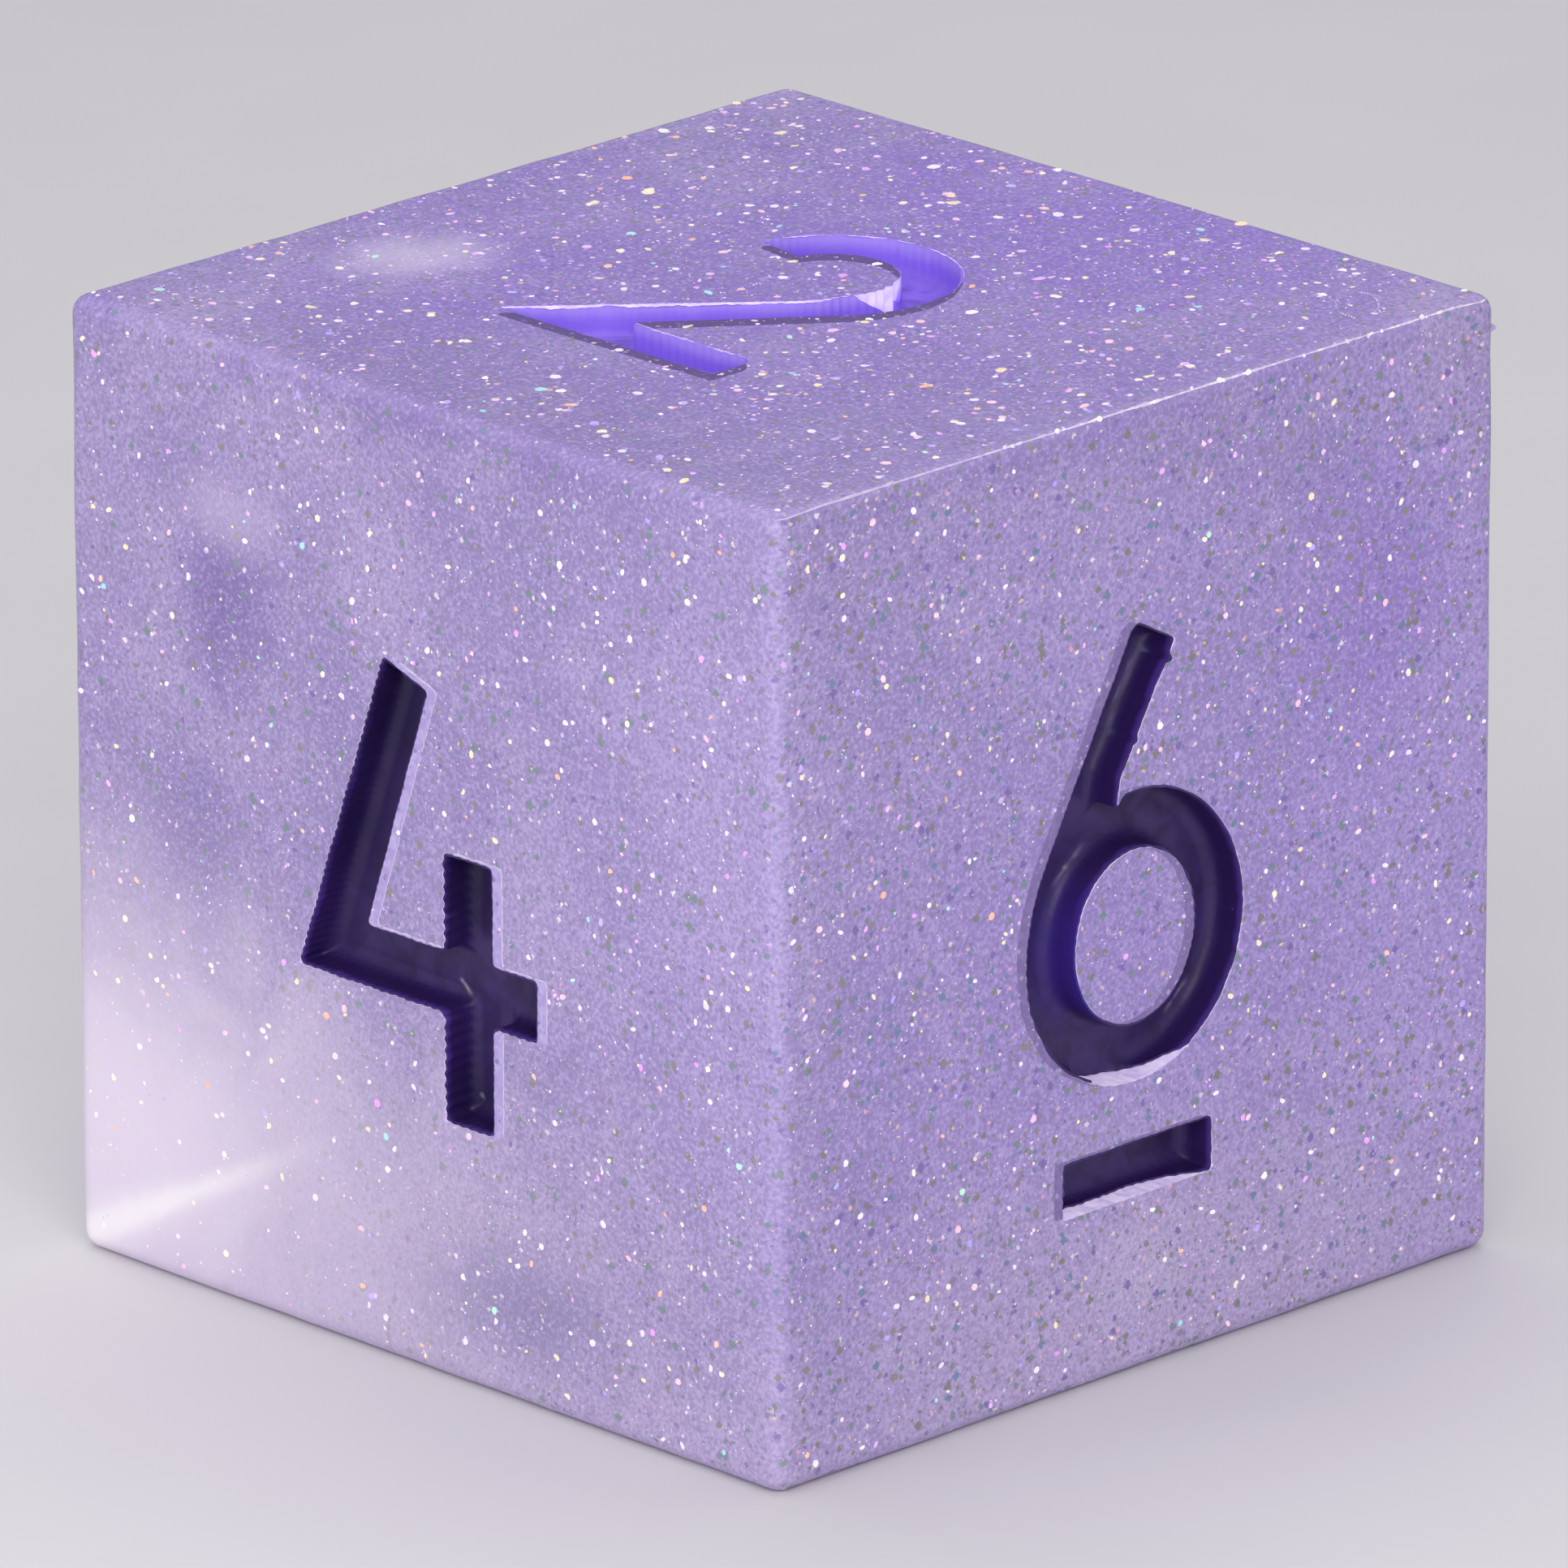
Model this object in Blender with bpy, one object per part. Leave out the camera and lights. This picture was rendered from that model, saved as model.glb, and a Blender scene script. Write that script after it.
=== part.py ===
"""A six-sided die cast in glitter resin, with a painted numeral engraved in each face.

Run it with blender --background --python part.py, or from Blender's text editor.
Sizes here are millimetres and turn into metres where a mesh is made. The origin is the
middle of the face the die rests on, and +Z is up. Opposite faces add up to seven.
"""

import math

import bmesh
import bpy
from mathutils import Matrix, Vector

METRES_PER_MM = 0.001

# Cast body
EDGE_LENGTH = 16.0
HALF_EDGE = EDGE_LENGTH / 2
EDGE_RADIUS = 0.35
EDGE_SEGMENTS = 5
SEAM_EDGE_RADIUS = 0.12  # the rim where the mould's cap closes is left almost sharp

# Engraving and its paint
ENGRAVING_DEPTH = 0.70
CUTTER_OVERSHOOT = 0.5  # how far a cutter stands out of its face
PAINT_GAP = 0.02  # clearance between the paint and the walls of its recess
PAINT_FLOOR_FILM = 0.12
PAINT_WALL_FILM = 0.06
PAINT_RIM_DEPTH = 0.10  # the film on the walls stops this far below the face

# Numerals: strokes, and how finely their round stretches are divided
STROKE = 1.05
NUMERAL_HALF_HEIGHT = 3.70
ARC_STEP = 7.5

# Finishes: base colour, roughness, metallic
RESIN_FINISH = ((0.37, 0.29, 0.60, 1.0), 0.42, 0.0)
PAINT_FINISH = ((0.050, 0.020, 0.145, 1.0), 0.50, 0.0)


def arc(centre, radius, start, end):
    """Points along a circular arc, or an elliptical one where radius is a pair; angles in degrees."""
    radius_x, radius_y = radius if isinstance(radius, tuple) else (radius, radius)
    steps = max(1, round(abs(end - start) / ARC_STEP))
    angles = [math.radians(start + (end - start) * i / steps) for i in range(steps + 1)]
    return [(centre[0] + radius_x * math.cos(a), centre[1] + radius_y * math.sin(a)) for a in angles]


def numeral_one():
    """A straight stem with a slanting flag at its head."""
    stem_left, stem_right = -0.40, 0.70
    flag_tip = (-2.00, 2.35)
    return [
        [
            (stem_right, NUMERAL_HALF_HEIGHT),
            (stem_right, -NUMERAL_HALF_HEIGHT),
            (stem_left, -NUMERAL_HALF_HEIGHT),
            (stem_left, 2.15),
            (-1.50, 1.45),
            flag_tip,
            (-0.25, NUMERAL_HALF_HEIGHT),
        ]
    ]


def numeral_two():
    """A round hook that runs down a slanting stroke into a flat base with a pointed heel."""
    hook = (-0.13, 1.20)
    outer, inner = 2.12, 1.10
    base_bottom, base_top, base_end = -3.67, -2.70, 2.19
    heel = -2.625
    return [
        [(heel, base_bottom), (heel, base_bottom + 0.10), (0.50, -0.05), (0.68, 0.24)]
        + arc(hook, inner, -32, 163)
        + arc(hook, outer, 167, -39)
        + [(-0.56, base_top), (base_end - 0.14, base_top), (base_end, base_top - 0.22)]
        + [(base_end, base_bottom)]
    ]


def numeral_three():
    """Two bowls, the lower one larger, joined by a short bar at the waist."""
    upper, upper_radius = (-0.20, 1.75), 1.95
    lower, lower_radius = (-0.20, -1.45), 2.25
    bar_end = -1.05
    # The outlines of both bowls cross on one level, which gives the notch on the right.
    rise = upper[1] - lower[1]
    notch_above_lower = (rise**2 + lower_radius**2 - upper_radius**2) / (2 * rise)
    lower_notch = math.degrees(math.asin(notch_above_lower / lower_radius))
    upper_notch = math.degrees(math.asin((notch_above_lower - rise) / upper_radius))
    return [
        arc(upper, upper_radius, 158, upper_notch)
        + arc(lower, lower_radius, lower_notch, -158)[1:]
        + arc(lower, lower_radius - STROKE, -158, 90)
        + [(bar_end, lower[1] + lower_radius - STROKE), (bar_end, upper[1] - upper_radius + STROKE)]
        + arc(upper, upper_radius - STROKE, -90, 158)
    ]


def numeral_four():
    """An open four: a slanting stroke, a crossbar and a short stem."""
    bar_top, bar_bottom, bar_end = -0.83, -1.88, 2.67
    stem_left, stem_right, stem_top, stem_bottom = 0.56, 1.68, 0.79, -3.68
    return [
        [
            (-0.765, 3.71),
            (0.255, 3.35),
            (-1.16, bar_top),
            (stem_left, bar_top),
            (stem_left, stem_top),
            (stem_right, stem_top),
            (stem_right, bar_top),
            (bar_end, bar_top),
            (bar_end, bar_bottom),
            (stem_right, bar_bottom),
            (stem_right, stem_bottom),
            (stem_left, stem_bottom),
            (stem_left, bar_bottom),
            (-2.76, bar_bottom),
        ]
    ]


def numeral_five():
    """A flat top bar, a leaning stem and an open bowl."""
    bowl, bowl_radius = (-0.25, -1.40), 2.30
    bar_left, bar_right = -1.55, 1.85
    return [
        [(bar_left, NUMERAL_HALF_HEIGHT), (bar_right, NUMERAL_HALF_HEIGHT)]
        + [(bar_right, NUMERAL_HALF_HEIGHT - STROKE), (-0.60, NUMERAL_HALF_HEIGHT - STROKE)]
        + arc(bowl, bowl_radius, 102, -155)
        + arc(bowl, bowl_radius - STROKE, -155, 120)
        + [(-1.85, -0.55)]
    ]


def numeral_six():
    """A round bowl with a slanting stem that flows out of its left side."""
    bowl, bowl_radius = (-0.15, -0.70), 2.42
    shoulder_radius = 3.40
    shoulder = (bowl[0] - bowl_radius + shoulder_radius, bowl[1])
    outline = (
        [(-0.09, 4.47), (0.75, 4.01), (0.14, 3.02), (-0.47, 1.98), (-0.57, 1.50)]
        + arc(bowl, bowl_radius, 96, -180)
        + arc(shoulder, shoulder_radius, 180, 149.5)[1:]
        + [(-0.36, 4.15), (-0.28, 4.35)]
    )
    return [outline, arc(bowl, (1.32, 1.43), 0, 360)[:-1]]


def six_underline():
    """The bar below the six, which tells it from a nine."""
    left, right, top, bottom = -1.75, 1.58, -4.10, -5.04
    return [[(left, top), (right, top), (right, bottom), (left, bottom)]]


# Each engraving: its outlines, then the directions of its right-hand side and its head
ENGRAVINGS = {
    "numeral_1": (numeral_one(), (-1, 0, 0), (0, 0, 1)),
    "numeral_2": (numeral_two(), (0, -1, 0), (1, 0, 0)),
    "numeral_3": (numeral_three(), (0, 1, 0), (0, 0, 1)),
    "numeral_4": (numeral_four(), (0, -1, 0), (0, 0, 1)),
    "numeral_5": (numeral_five(), (0, 1, 0), (1, 0, 0)),
    "numeral_6": (numeral_six(), (1, 0, 0), (0, 0, 1)),
    "numeral_6_underline": (six_underline(), (1, 0, 0), (0, 0, 1)),
}


def face_frame(right, head):
    """The matrix that puts a drawing on its face: x to the right, y to the head, z outwards."""
    right, head = Vector(right), Vector(head)
    outwards = right.cross(head)
    centre = Vector((0, 0, HALF_EDGE)) + outwards * HALF_EDGE
    rotation = Matrix((right, head, outwards)).transposed().to_4x4()
    return Matrix.Translation(centre * METRES_PER_MM) @ rotation


def signed_area(loop):
    """The area inside a loop, positive where it runs anticlockwise."""
    pairs = zip(loop, loop[1:] + loop[:1])
    return sum(x0 * y1 - x1 * y0 for (x0, y0), (x1, y1) in pairs) / 2


def turned(loops):
    """The loops with the outline anticlockwise and any loop inside it clockwise."""
    wanted = [1] + [-1] * (len(loops) - 1)
    return [loop if signed_area(loop) * way > 0 else loop[::-1] for loop, way in zip(loops, wanted)]


def narrowed(loops, distance):
    """The loops moved into the material between them by a distance, with mitred corners."""
    result = []
    for loop in loops:
        moved = []
        for i, point in enumerate(loop):
            here, before, after = Vector(point), Vector(loop[i - 1]), Vector(loop[(i + 1) % len(loop)])
            into, out_of = (here - before).normalized(), (after - here).normalized()
            bisector = (into.orthogonal() + out_of.orthogonal()).normalized()
            moved.append(tuple(here + bisector * distance / bisector.dot(into.orthogonal())))
        result.append(moved)
    return result


def finish(name, settings):
    """A material with a base colour, a roughness and a metallic value."""
    colour, roughness, metallic = settings
    material = bpy.data.materials.new(name)
    material.use_nodes = True
    shader = material.node_tree.nodes["Principled BSDF"]
    shader.inputs["Base Color"].default_value = colour
    shader.inputs["Roughness"].default_value = roughness
    shader.inputs["Metallic"].default_value = metallic
    material.diffuse_color = colour
    return material


def solid(name, levels):
    """An object whose skin joins the loops of each level to the next and closes both ends.

    levels is a list of (loops, height) pairs, and the loops of every level match point for point.
    """
    mesh_builder = bmesh.new()
    rings = []
    for loops, height in levels:
        rings.append([[mesh_builder.verts.new((x, y, height)) for x, y in loop] for loop in loops])
    for lower, upper in zip(rings, rings[1:]):
        for low, high in zip(lower, upper):
            for i in range(len(low)):
                j = (i + 1) % len(low)
                mesh_builder.faces.new((low[i], low[j], high[j], high[i]))
    for level in (rings[0], rings[-1]):
        rim = [mesh_builder.edges.get((ring[i - 1], ring[i])) for ring in level for i in range(len(ring))]
        bmesh.ops.triangle_fill(mesh_builder, edges=rim, use_beauty=True, normal=(0, 0, 1))
    bmesh.ops.recalc_face_normals(mesh_builder, faces=mesh_builder.faces)
    bmesh.ops.scale(mesh_builder, vec=(METRES_PER_MM,) * 3, verts=mesh_builder.verts)
    mesh = bpy.data.meshes.new(name)
    mesh_builder.to_mesh(mesh)
    mesh_builder.free()
    result = bpy.data.objects.new(name, mesh)
    bpy.context.collection.objects.link(result)
    return result


def cutter(name, loops, frame):
    """The tool that sinks an engraving into its face."""
    tool = solid(name + "_cutter", [(loops, -ENGRAVING_DEPTH), (loops, CUTTER_OVERSHOOT)])
    tool.matrix_world = frame
    tool.hide_render = True
    tool.display_type = "WIRE"
    return tool


def paint(name, loops, frame, material):
    """The film of paint that covers the floor of a recess and climbs its walls."""
    against_walls = narrowed(loops, PAINT_GAP)
    inside_film = narrowed(loops, PAINT_GAP + PAINT_WALL_FILM)
    underside = -ENGRAVING_DEPTH + PAINT_GAP
    film = solid(
        name + "_paint",
        [
            (against_walls, underside),
            (against_walls, -PAINT_RIM_DEPTH),
            (inside_film, -PAINT_RIM_DEPTH),
            (inside_film, underside + PAINT_FLOOR_FILM),
        ],
    )
    film.matrix_world = frame
    film.data.materials.append(material)
    return film


def cast_body(material):
    """The resin cube with rounded edges, before it is engraved."""
    mesh_builder = bmesh.new()
    bmesh.ops.create_cube(mesh_builder, size=EDGE_LENGTH * METRES_PER_MM)
    bmesh.ops.translate(mesh_builder, verts=mesh_builder.verts, vec=(0, 0, HALF_EDGE * METRES_PER_MM))
    mesh = bpy.data.meshes.new("die_body")
    weights = mesh_builder.edges.layers.float.new("bevel_weight_edge")
    for edge in mesh_builder.edges:
        first, second = edge.verts
        on_seam = all(v.co.z > 0 and v.co.y < 0 for v in (first, second))
        edge[weights] = SEAM_EDGE_RADIUS / EDGE_RADIUS if on_seam else 1.0
    mesh_builder.to_mesh(mesh)
    mesh_builder.free()
    body = bpy.data.objects.new("die_body", mesh)
    bpy.context.collection.objects.link(body)
    rounding = body.modifiers.new("rounded_edges", "BEVEL")
    rounding.limit_method = "WEIGHT"
    rounding.width = EDGE_RADIUS * METRES_PER_MM
    rounding.segments = EDGE_SEGMENTS
    body.data.materials.append(material)
    return body


def engrave(body, tool):
    """Sinks one engraving into the body."""
    cut = body.modifiers.new(tool.name, "BOOLEAN")
    cut.operation = "DIFFERENCE"
    cut.solver = "EXACT"
    cut.object = tool


def build():
    """Makes the body, its engravings and the paint in them."""
    for old in list(bpy.data.objects):
        bpy.data.objects.remove(old)
    body = cast_body(finish("glitter_resin", RESIN_FINISH))
    for name, (drawing, right, head) in ENGRAVINGS.items():
        loops = turned(drawing)
        frame = face_frame(right, head)
        engrave(body, cutter(name, loops, frame))
        paint(name, loops, frame, finish(name + "_purple", PAINT_FINISH))


build()
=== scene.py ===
"""The looks of a six-sided glitter die: cast resin, engraved and painted numerals, glitter and studio.

Every size is in millimetres unless a name says otherwise, and turns into metres where a mesh
or a light is made. The CAD model gives the die's place, size and the numerals' outlines.
"""

import logging
import math
from dataclasses import dataclass, field
from enum import Enum
from functools import cache

import bmesh
import bpy
import numpy as np
from mathutils import Matrix, Quaternion, Vector, noise
from mathutils.geometry import delaunay_2d_cdt


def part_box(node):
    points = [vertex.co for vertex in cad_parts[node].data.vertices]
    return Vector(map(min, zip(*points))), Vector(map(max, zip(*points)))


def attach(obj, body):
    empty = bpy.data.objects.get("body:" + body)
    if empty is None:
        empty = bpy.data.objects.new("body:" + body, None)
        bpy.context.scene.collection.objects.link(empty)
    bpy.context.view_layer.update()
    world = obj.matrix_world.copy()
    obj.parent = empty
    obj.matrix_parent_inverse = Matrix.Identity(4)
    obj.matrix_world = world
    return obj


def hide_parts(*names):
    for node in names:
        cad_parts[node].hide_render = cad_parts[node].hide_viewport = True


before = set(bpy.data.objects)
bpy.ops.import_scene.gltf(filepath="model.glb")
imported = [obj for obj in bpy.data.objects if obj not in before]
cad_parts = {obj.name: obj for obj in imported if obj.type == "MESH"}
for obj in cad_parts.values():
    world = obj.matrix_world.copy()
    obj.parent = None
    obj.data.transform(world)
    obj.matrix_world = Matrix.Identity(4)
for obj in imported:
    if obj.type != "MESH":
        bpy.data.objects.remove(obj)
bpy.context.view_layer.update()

Colour = tuple[float, float, float]
Point = tuple[float, float]
Place = tuple[float, float, float]
Loop = list[Point]
Line = list[float]
Value = bpy.types.NodeSocket | float | Colour

METRES_PER_MM = 0.001
BODY_NODE = "die_body"
SAME_POINT = 1e-4  # corners nearer than this are one corner
STRAIGHT = 1e-5  # a corner that turns less than this lies on a straight side
SHARPEST_MITRE = 0.25
HOLLOW_MITRE = 0.92
SEAM_END_GAP = 0.25
SEAM_FADE = 0.9
LOG = logging.getLogger("die")


# ---------------------------------------------------------------- frame


@cache
def die_box() -> tuple[Vector, Vector]:
    """The middle and the half size of the CAD body, in millimetres."""
    low, high = (corner / METRES_PER_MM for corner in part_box(BODY_NODE))
    return (low + high) / 2, (high - low) / 2


@dataclass(frozen=True)
class FaceFrame:
    """One face of the die as a drawing board: right-hand side, head and outward direction."""

    right: Vector
    head: Vector

    @property
    def outwards(self) -> Vector:
        """The face's outward normal."""
        return self.right.cross(self.head)

    @property
    def centre(self) -> Vector:
        """The middle of the face, in millimetres."""
        middle, half = die_box()
        return middle + Vector(o * h for o, h in zip(self.outwards, half))

    def matrix(self) -> Matrix:
        """Puts a drawing in millimetres on the face: x right, y head, z outwards."""
        rotation = Matrix((self.right, self.head, self.outwards)).transposed().to_4x4()
        return Matrix.Translation(self.centre) @ rotation

    def flat(self, point: Vector) -> Point:
        """The drawing coordinates of a point given in the die's millimetres."""
        offset = point - self.centre
        return offset.dot(self.right), offset.dot(self.head)


class Face(Enum):
    """The six faces, each named for its numeral."""

    ONE = FaceFrame(Vector((-1, 0, 0)), Vector((0, 0, 1)))
    TWO = FaceFrame(Vector((0, -1, 0)), Vector((1, 0, 0)))
    THREE = FaceFrame(Vector((0, 1, 0)), Vector((0, 0, 1)))
    FOUR = FaceFrame(Vector((0, -1, 0)), Vector((0, 0, 1)))
    FIVE = FaceFrame(Vector((0, 1, 0)), Vector((1, 0, 0)))
    SIX = FaceFrame(Vector((1, 0, 0)), Vector((0, 0, 1)))


def sealed_mesh(name: str, builder: bmesh.types.BMesh, matrix: Matrix | None = None) -> bpy.types.Object:
    """Turns a mesh drawn in millimetres into an object in the scene, and frees the builder.

    Args:
        name: the object's name.
        builder: the mesh, in millimetres.
        matrix: where the drawing goes on the die, also in millimetres.

    Returns:
        The new object, at the scene's origin and in metres.
    """
    if matrix is not None:
        bmesh.ops.transform(builder, matrix=matrix, verts=builder.verts)
    bmesh.ops.scale(builder, vec=(METRES_PER_MM,) * 3, verts=builder.verts)
    mesh = bpy.data.meshes.new(name)
    builder.to_mesh(mesh)
    builder.free()
    piece = bpy.data.objects.new(name, mesh)
    bpy.context.scene.collection.objects.link(piece)
    return piece


def smooth(piece: bpy.types.Object, crease_degrees: float) -> None:
    """Shades a piece smooth, apart from the edges that fold more than the crease angle."""
    piece.data.shade_smooth()
    piece.data.set_sharp_from_angle(angle=math.radians(crease_degrees))


def ripple(place: Vector, pitch: float, seed: float = 0.0) -> float:
    """Smooth noise between about -1 and 1 that changes over a distance of one pitch."""
    return noise.noise(place / pitch + Vector((seed, seed * 0.7, -seed)))


# ---------------------------------------------------------------- node bench


class Bench:
    """Lays out the nodes of one material around its Principled shader."""

    def __init__(self, name: str) -> None:
        """Starts a material of that name.

        Args:
            name: The material's name.
        """
        self.material = bpy.data.materials.new(name)
        self.material.use_nodes = True
        self.tree = self.material.node_tree
        self.shader = self.tree.nodes["Principled BSDF"]

    def add(self, kind: str, **settings: object) -> bpy.types.Node:
        """A new node with its settings.

        Args:
            kind: The node's Blender type.
            settings: The node's own settings, by name.

        Returns:
            The node.
        """
        node = self.tree.nodes.new(kind)
        for key, value in settings.items():
            setattr(node, key, value)
        return node

    def feed(self, socket: bpy.types.NodeSocket, value: Value) -> None:
        """Links a socket to another one, or sets its own value.

        Args:
            socket: The socket to feed.
            value: Another node's output, a number or a colour.
        """
        if isinstance(value, bpy.types.NodeSocket):
            self.tree.links.new(value, socket)
        elif isinstance(value, tuple) and socket.type == "RGBA":
            socket.default_value = (*value, 1.0)
        else:
            socket.default_value = value

    def set(self, **values: Value) -> None:
        """Feeds the shader's sockets, named with underscores in place of spaces."""
        for key, value in values.items():
            self.feed(self.shader.inputs[key.replace("_", " ")], value)

    def math(self, operation: str, *values: Value) -> bpy.types.NodeSocket:
        """The result of a Math node.

        Args:
            operation: The operation's Blender name.
            values: What it works on.

        Returns:
            The node's output.
        """
        node = self.add("ShaderNodeMath", operation=operation)
        for socket, value in zip(node.inputs, values):
            self.feed(socket, value)
        return node.outputs[0]

    def vector(self, operation: str, *values: Value) -> bpy.types.Node:
        """A Vector Math node; its first output is a vector, and its second is a value.

        Args:
            operation: The operation's Blender name.
            values: What it works on.

        Returns:
            The node.
        """
        node = self.add("ShaderNodeVectorMath", operation=operation)
        for socket, value in zip(node.inputs, values):
            self.feed(socket, value)
        return node

    def place(self) -> bpy.types.NodeSocket:
        """The shaded point in the die's millimetres.

        Returns:
            The place as a vector.
        """
        coordinates = self.add("ShaderNodeTexCoord").outputs["Object"]
        scaled = self.vector("SCALE", coordinates)
        scaled.inputs["Scale"].default_value = 1 / METRES_PER_MM
        return scaled.outputs[0]

    def noise(self, where: Value, grain: float, detail: float = 2.0, warp: float = 0.0) -> Value:
        """Noise from 0 to 1 whose features are about one grain across.

        Args:
            where: The place to look the noise up at.
            grain: The size of its features in millimetres.
            detail: How many finer layers it has.
            warp: How far it is pulled out of shape.

        Returns:
            The noise.
        """
        node = self.add("ShaderNodeTexNoise")
        self.feed(node.inputs["Vector"], where)
        node.inputs["Scale"].default_value = 1 / grain
        node.inputs["Detail"].default_value = detail
        node.inputs["Distortion"].default_value = warp
        return node.outputs["Fac"]

    def mix(self, share: Value, low: Value, high: Value, blend: str = "MIX") -> bpy.types.NodeSocket:
        """Two colours mixed.

        Args:
            share: How much of the second colour there is, from 0 to 1.
            low: The first colour.
            high: The second colour.
            blend: The blend mode.

        Returns:
            The mixed colour.
        """
        node = self.add("ShaderNodeMix", data_type="RGBA", blend_type=blend)
        self.feed(node.inputs["Factor"], share)
        self.feed(node.inputs[6], low)
        self.feed(node.inputs[7], high)
        return node.outputs[2]

    def between(self, value: Value, low: float, high: float, start: float = 0.0, end: float = 1.0) -> Value:
        """A value carried smoothly from the range low..high to the range start..end.

        Args:
            value: The value to carry over.
            low: Where the first range starts.
            high: Where the first range ends.
            start: What the result is at low and before.
            end: What the result is at high and beyond.

        Returns:
            The value in its new range.
        """
        node = self.add("ShaderNodeMapRange", interpolation_type="SMOOTHSTEP")
        for socket, number in zip(node.inputs, (value, low, high, start, end)):
            self.feed(socket, number)
        return node.outputs[0]

    def pick(self, value: Value, stops: list[tuple[float, Colour]], blended: bool = False) -> Value:
        """A colour chosen from stops by a value from 0 to 1.

        Args:
            value: what chooses.
            stops: each stop's start and colour.
            blended: whether neighbouring colours blend or change at once.

        Returns:
            The colour's socket.
        """
        ramp = self.add("ShaderNodeValToRGB")
        ramp.color_ramp.interpolation = "LINEAR" if blended else "CONSTANT"
        elements = ramp.color_ramp.elements
        while len(elements) < len(stops):
            elements.new(1.0)
        for element, (start, colour) in zip(elements, stops):
            element.position = start
            element.color = (*colour, 1.0)
        self.feed(ramp.inputs[0], value)
        return ramp.outputs[0]

    def bump(self, height: Value, depth: float, strength: float, after: Value | None = None) -> Value:
        """A normal bumped by a height from 0 to 1 that stands for a depth in millimetres.

        Args:
            height: The height, from 0 to 1.
            depth: What a height of 1 stands for, in millimetres.
            strength: How much of the bump shows.
            after: A normal that this bump is laid over.

        Returns:
            The bumped normal.
        """
        node = self.add("ShaderNodeBump")
        node.inputs["Distance"].default_value = depth * METRES_PER_MM
        node.inputs["Strength"].default_value = strength
        self.feed(node.inputs["Height"], height)
        if after is not None:
            self.feed(node.inputs["Normal"], after)
        return node.outputs[0]


# ---------------------------------------------------------------- finishes


@dataclass(frozen=True)
class Texture:
    """A noise: the size of its features in millimetres, its finer layers and how far it is warped."""

    grain: float
    detail: float = 2.0
    warp: float = 0.0

    def at(self, bench: Bench, where: Value) -> Value:
        """The noise at the shaded point, from 0 to 1."""
        return bench.noise(where, self.grain, self.detail, self.warp)

    def waver(self, bench: Bench, where: Value, amount: float) -> Value:
        """The noise spread evenly about zero, as wide as the amount."""
        return bench.math("MULTIPLY_ADD", self.at(bench, where), amount, -amount / 2)


@dataclass(frozen=True)
class Relief:
    """Fine unevenness of a surface: its texture, its depth in millimetres and how much of it shows."""

    texture: Texture
    depth: float
    strength: float

    def normal(self, bench: Bench, where: Value, after: Value | None = None) -> Value:
        """The bumped normal, laid over another one where there is one."""
        return bench.bump(self.texture.at(bench, where), self.depth, self.strength, after)


FROST = Relief(Texture(0.055, 3.0), 0.004, 0.5)


@dataclass(frozen=True)
class FleckLayer:
    """One scatter of small flecks in the resin: their spacing, share, size, softness and colours.

    An uneven one is denser on the face with the six than elsewhere.
    """

    spacing: float
    share: float
    radius: tuple[float, float]
    softness: float
    strength: float
    colours: tuple[Colour, ...]
    uneven: bool = False
    outline: str = "MANHATTAN"

    def masks(self, bench: Bench, where: Value, crowd: Value = 1.0) -> tuple[Value, Value]:
        """How much of a fleck covers the shaded point, and the fleck's colour.

        Args:
            bench: The material being made.
            where: The shaded point in millimetres.
            crowd: How many times as many flecks as usual there are.

        Returns:
            The cover from 0 to 1, and the colour.
        """
        cells = bench.add("ShaderNodeTexVoronoi", distance=self.outline)
        bench.feed(cells.inputs["Vector"], where)
        cells.inputs["Scale"].default_value = 1 / self.spacing
        draws = bench.add("ShaderNodeSeparateColor")
        bench.feed(draws.inputs[0], cells.outputs["Color"])
        small, large = (r / self.spacing for r in self.radius)
        radius = bench.math("MULTIPLY_ADD", draws.outputs[2], large - small, small)
        gap = bench.math("SUBTRACT", radius, cells.outputs["Distance"])
        cover = bench.between(gap, 0.0, self.softness / self.spacing)
        present = bench.math("LESS_THAN", draws.outputs[1], bench.math("MULTIPLY", crowd, self.share))
        steps = [(i / len(self.colours), colour) for i, colour in enumerate(self.colours)]
        amount = bench.math("MULTIPLY", cover, present)
        return bench.math("MULTIPLY", amount, self.strength), bench.pick(draws.outputs[0], steps)


@dataclass(frozen=True)
class Cloud:
    """A soft patch of another colour, used for clouds inside the resin and for patches of painted light and
    shade.
    """

    centre: Place
    reach: Place
    colour: Colour
    strength: float
    wisp: float = 0.7
    wisps: Texture = Texture(1.7, 4.0, 1.0)
    core: float = 0.15

    def over(self, bench: Bench, where: Value, colour: Value) -> Value:
        """The colour with this patch in it, its edge blurred by wisps.

        Args:
            bench: The material being made.
            where: The shaded point in millimetres.
            colour: The colour without the patch.

        Returns:
            The colour with the patch.
        """
        offset = bench.vector("SUBTRACT", where, self.centre).outputs[0]
        shrunk = bench.vector("DIVIDE", offset, self.reach).outputs[0]
        distance = bench.vector("LENGTH", shrunk).outputs[1]
        edge = bench.math("ADD", distance, self.wisps.waver(bench, where, self.wisp))
        return bench.mix(bench.between(edge, 1.0, self.core, 0.0, self.strength), colour, self.colour)


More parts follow.
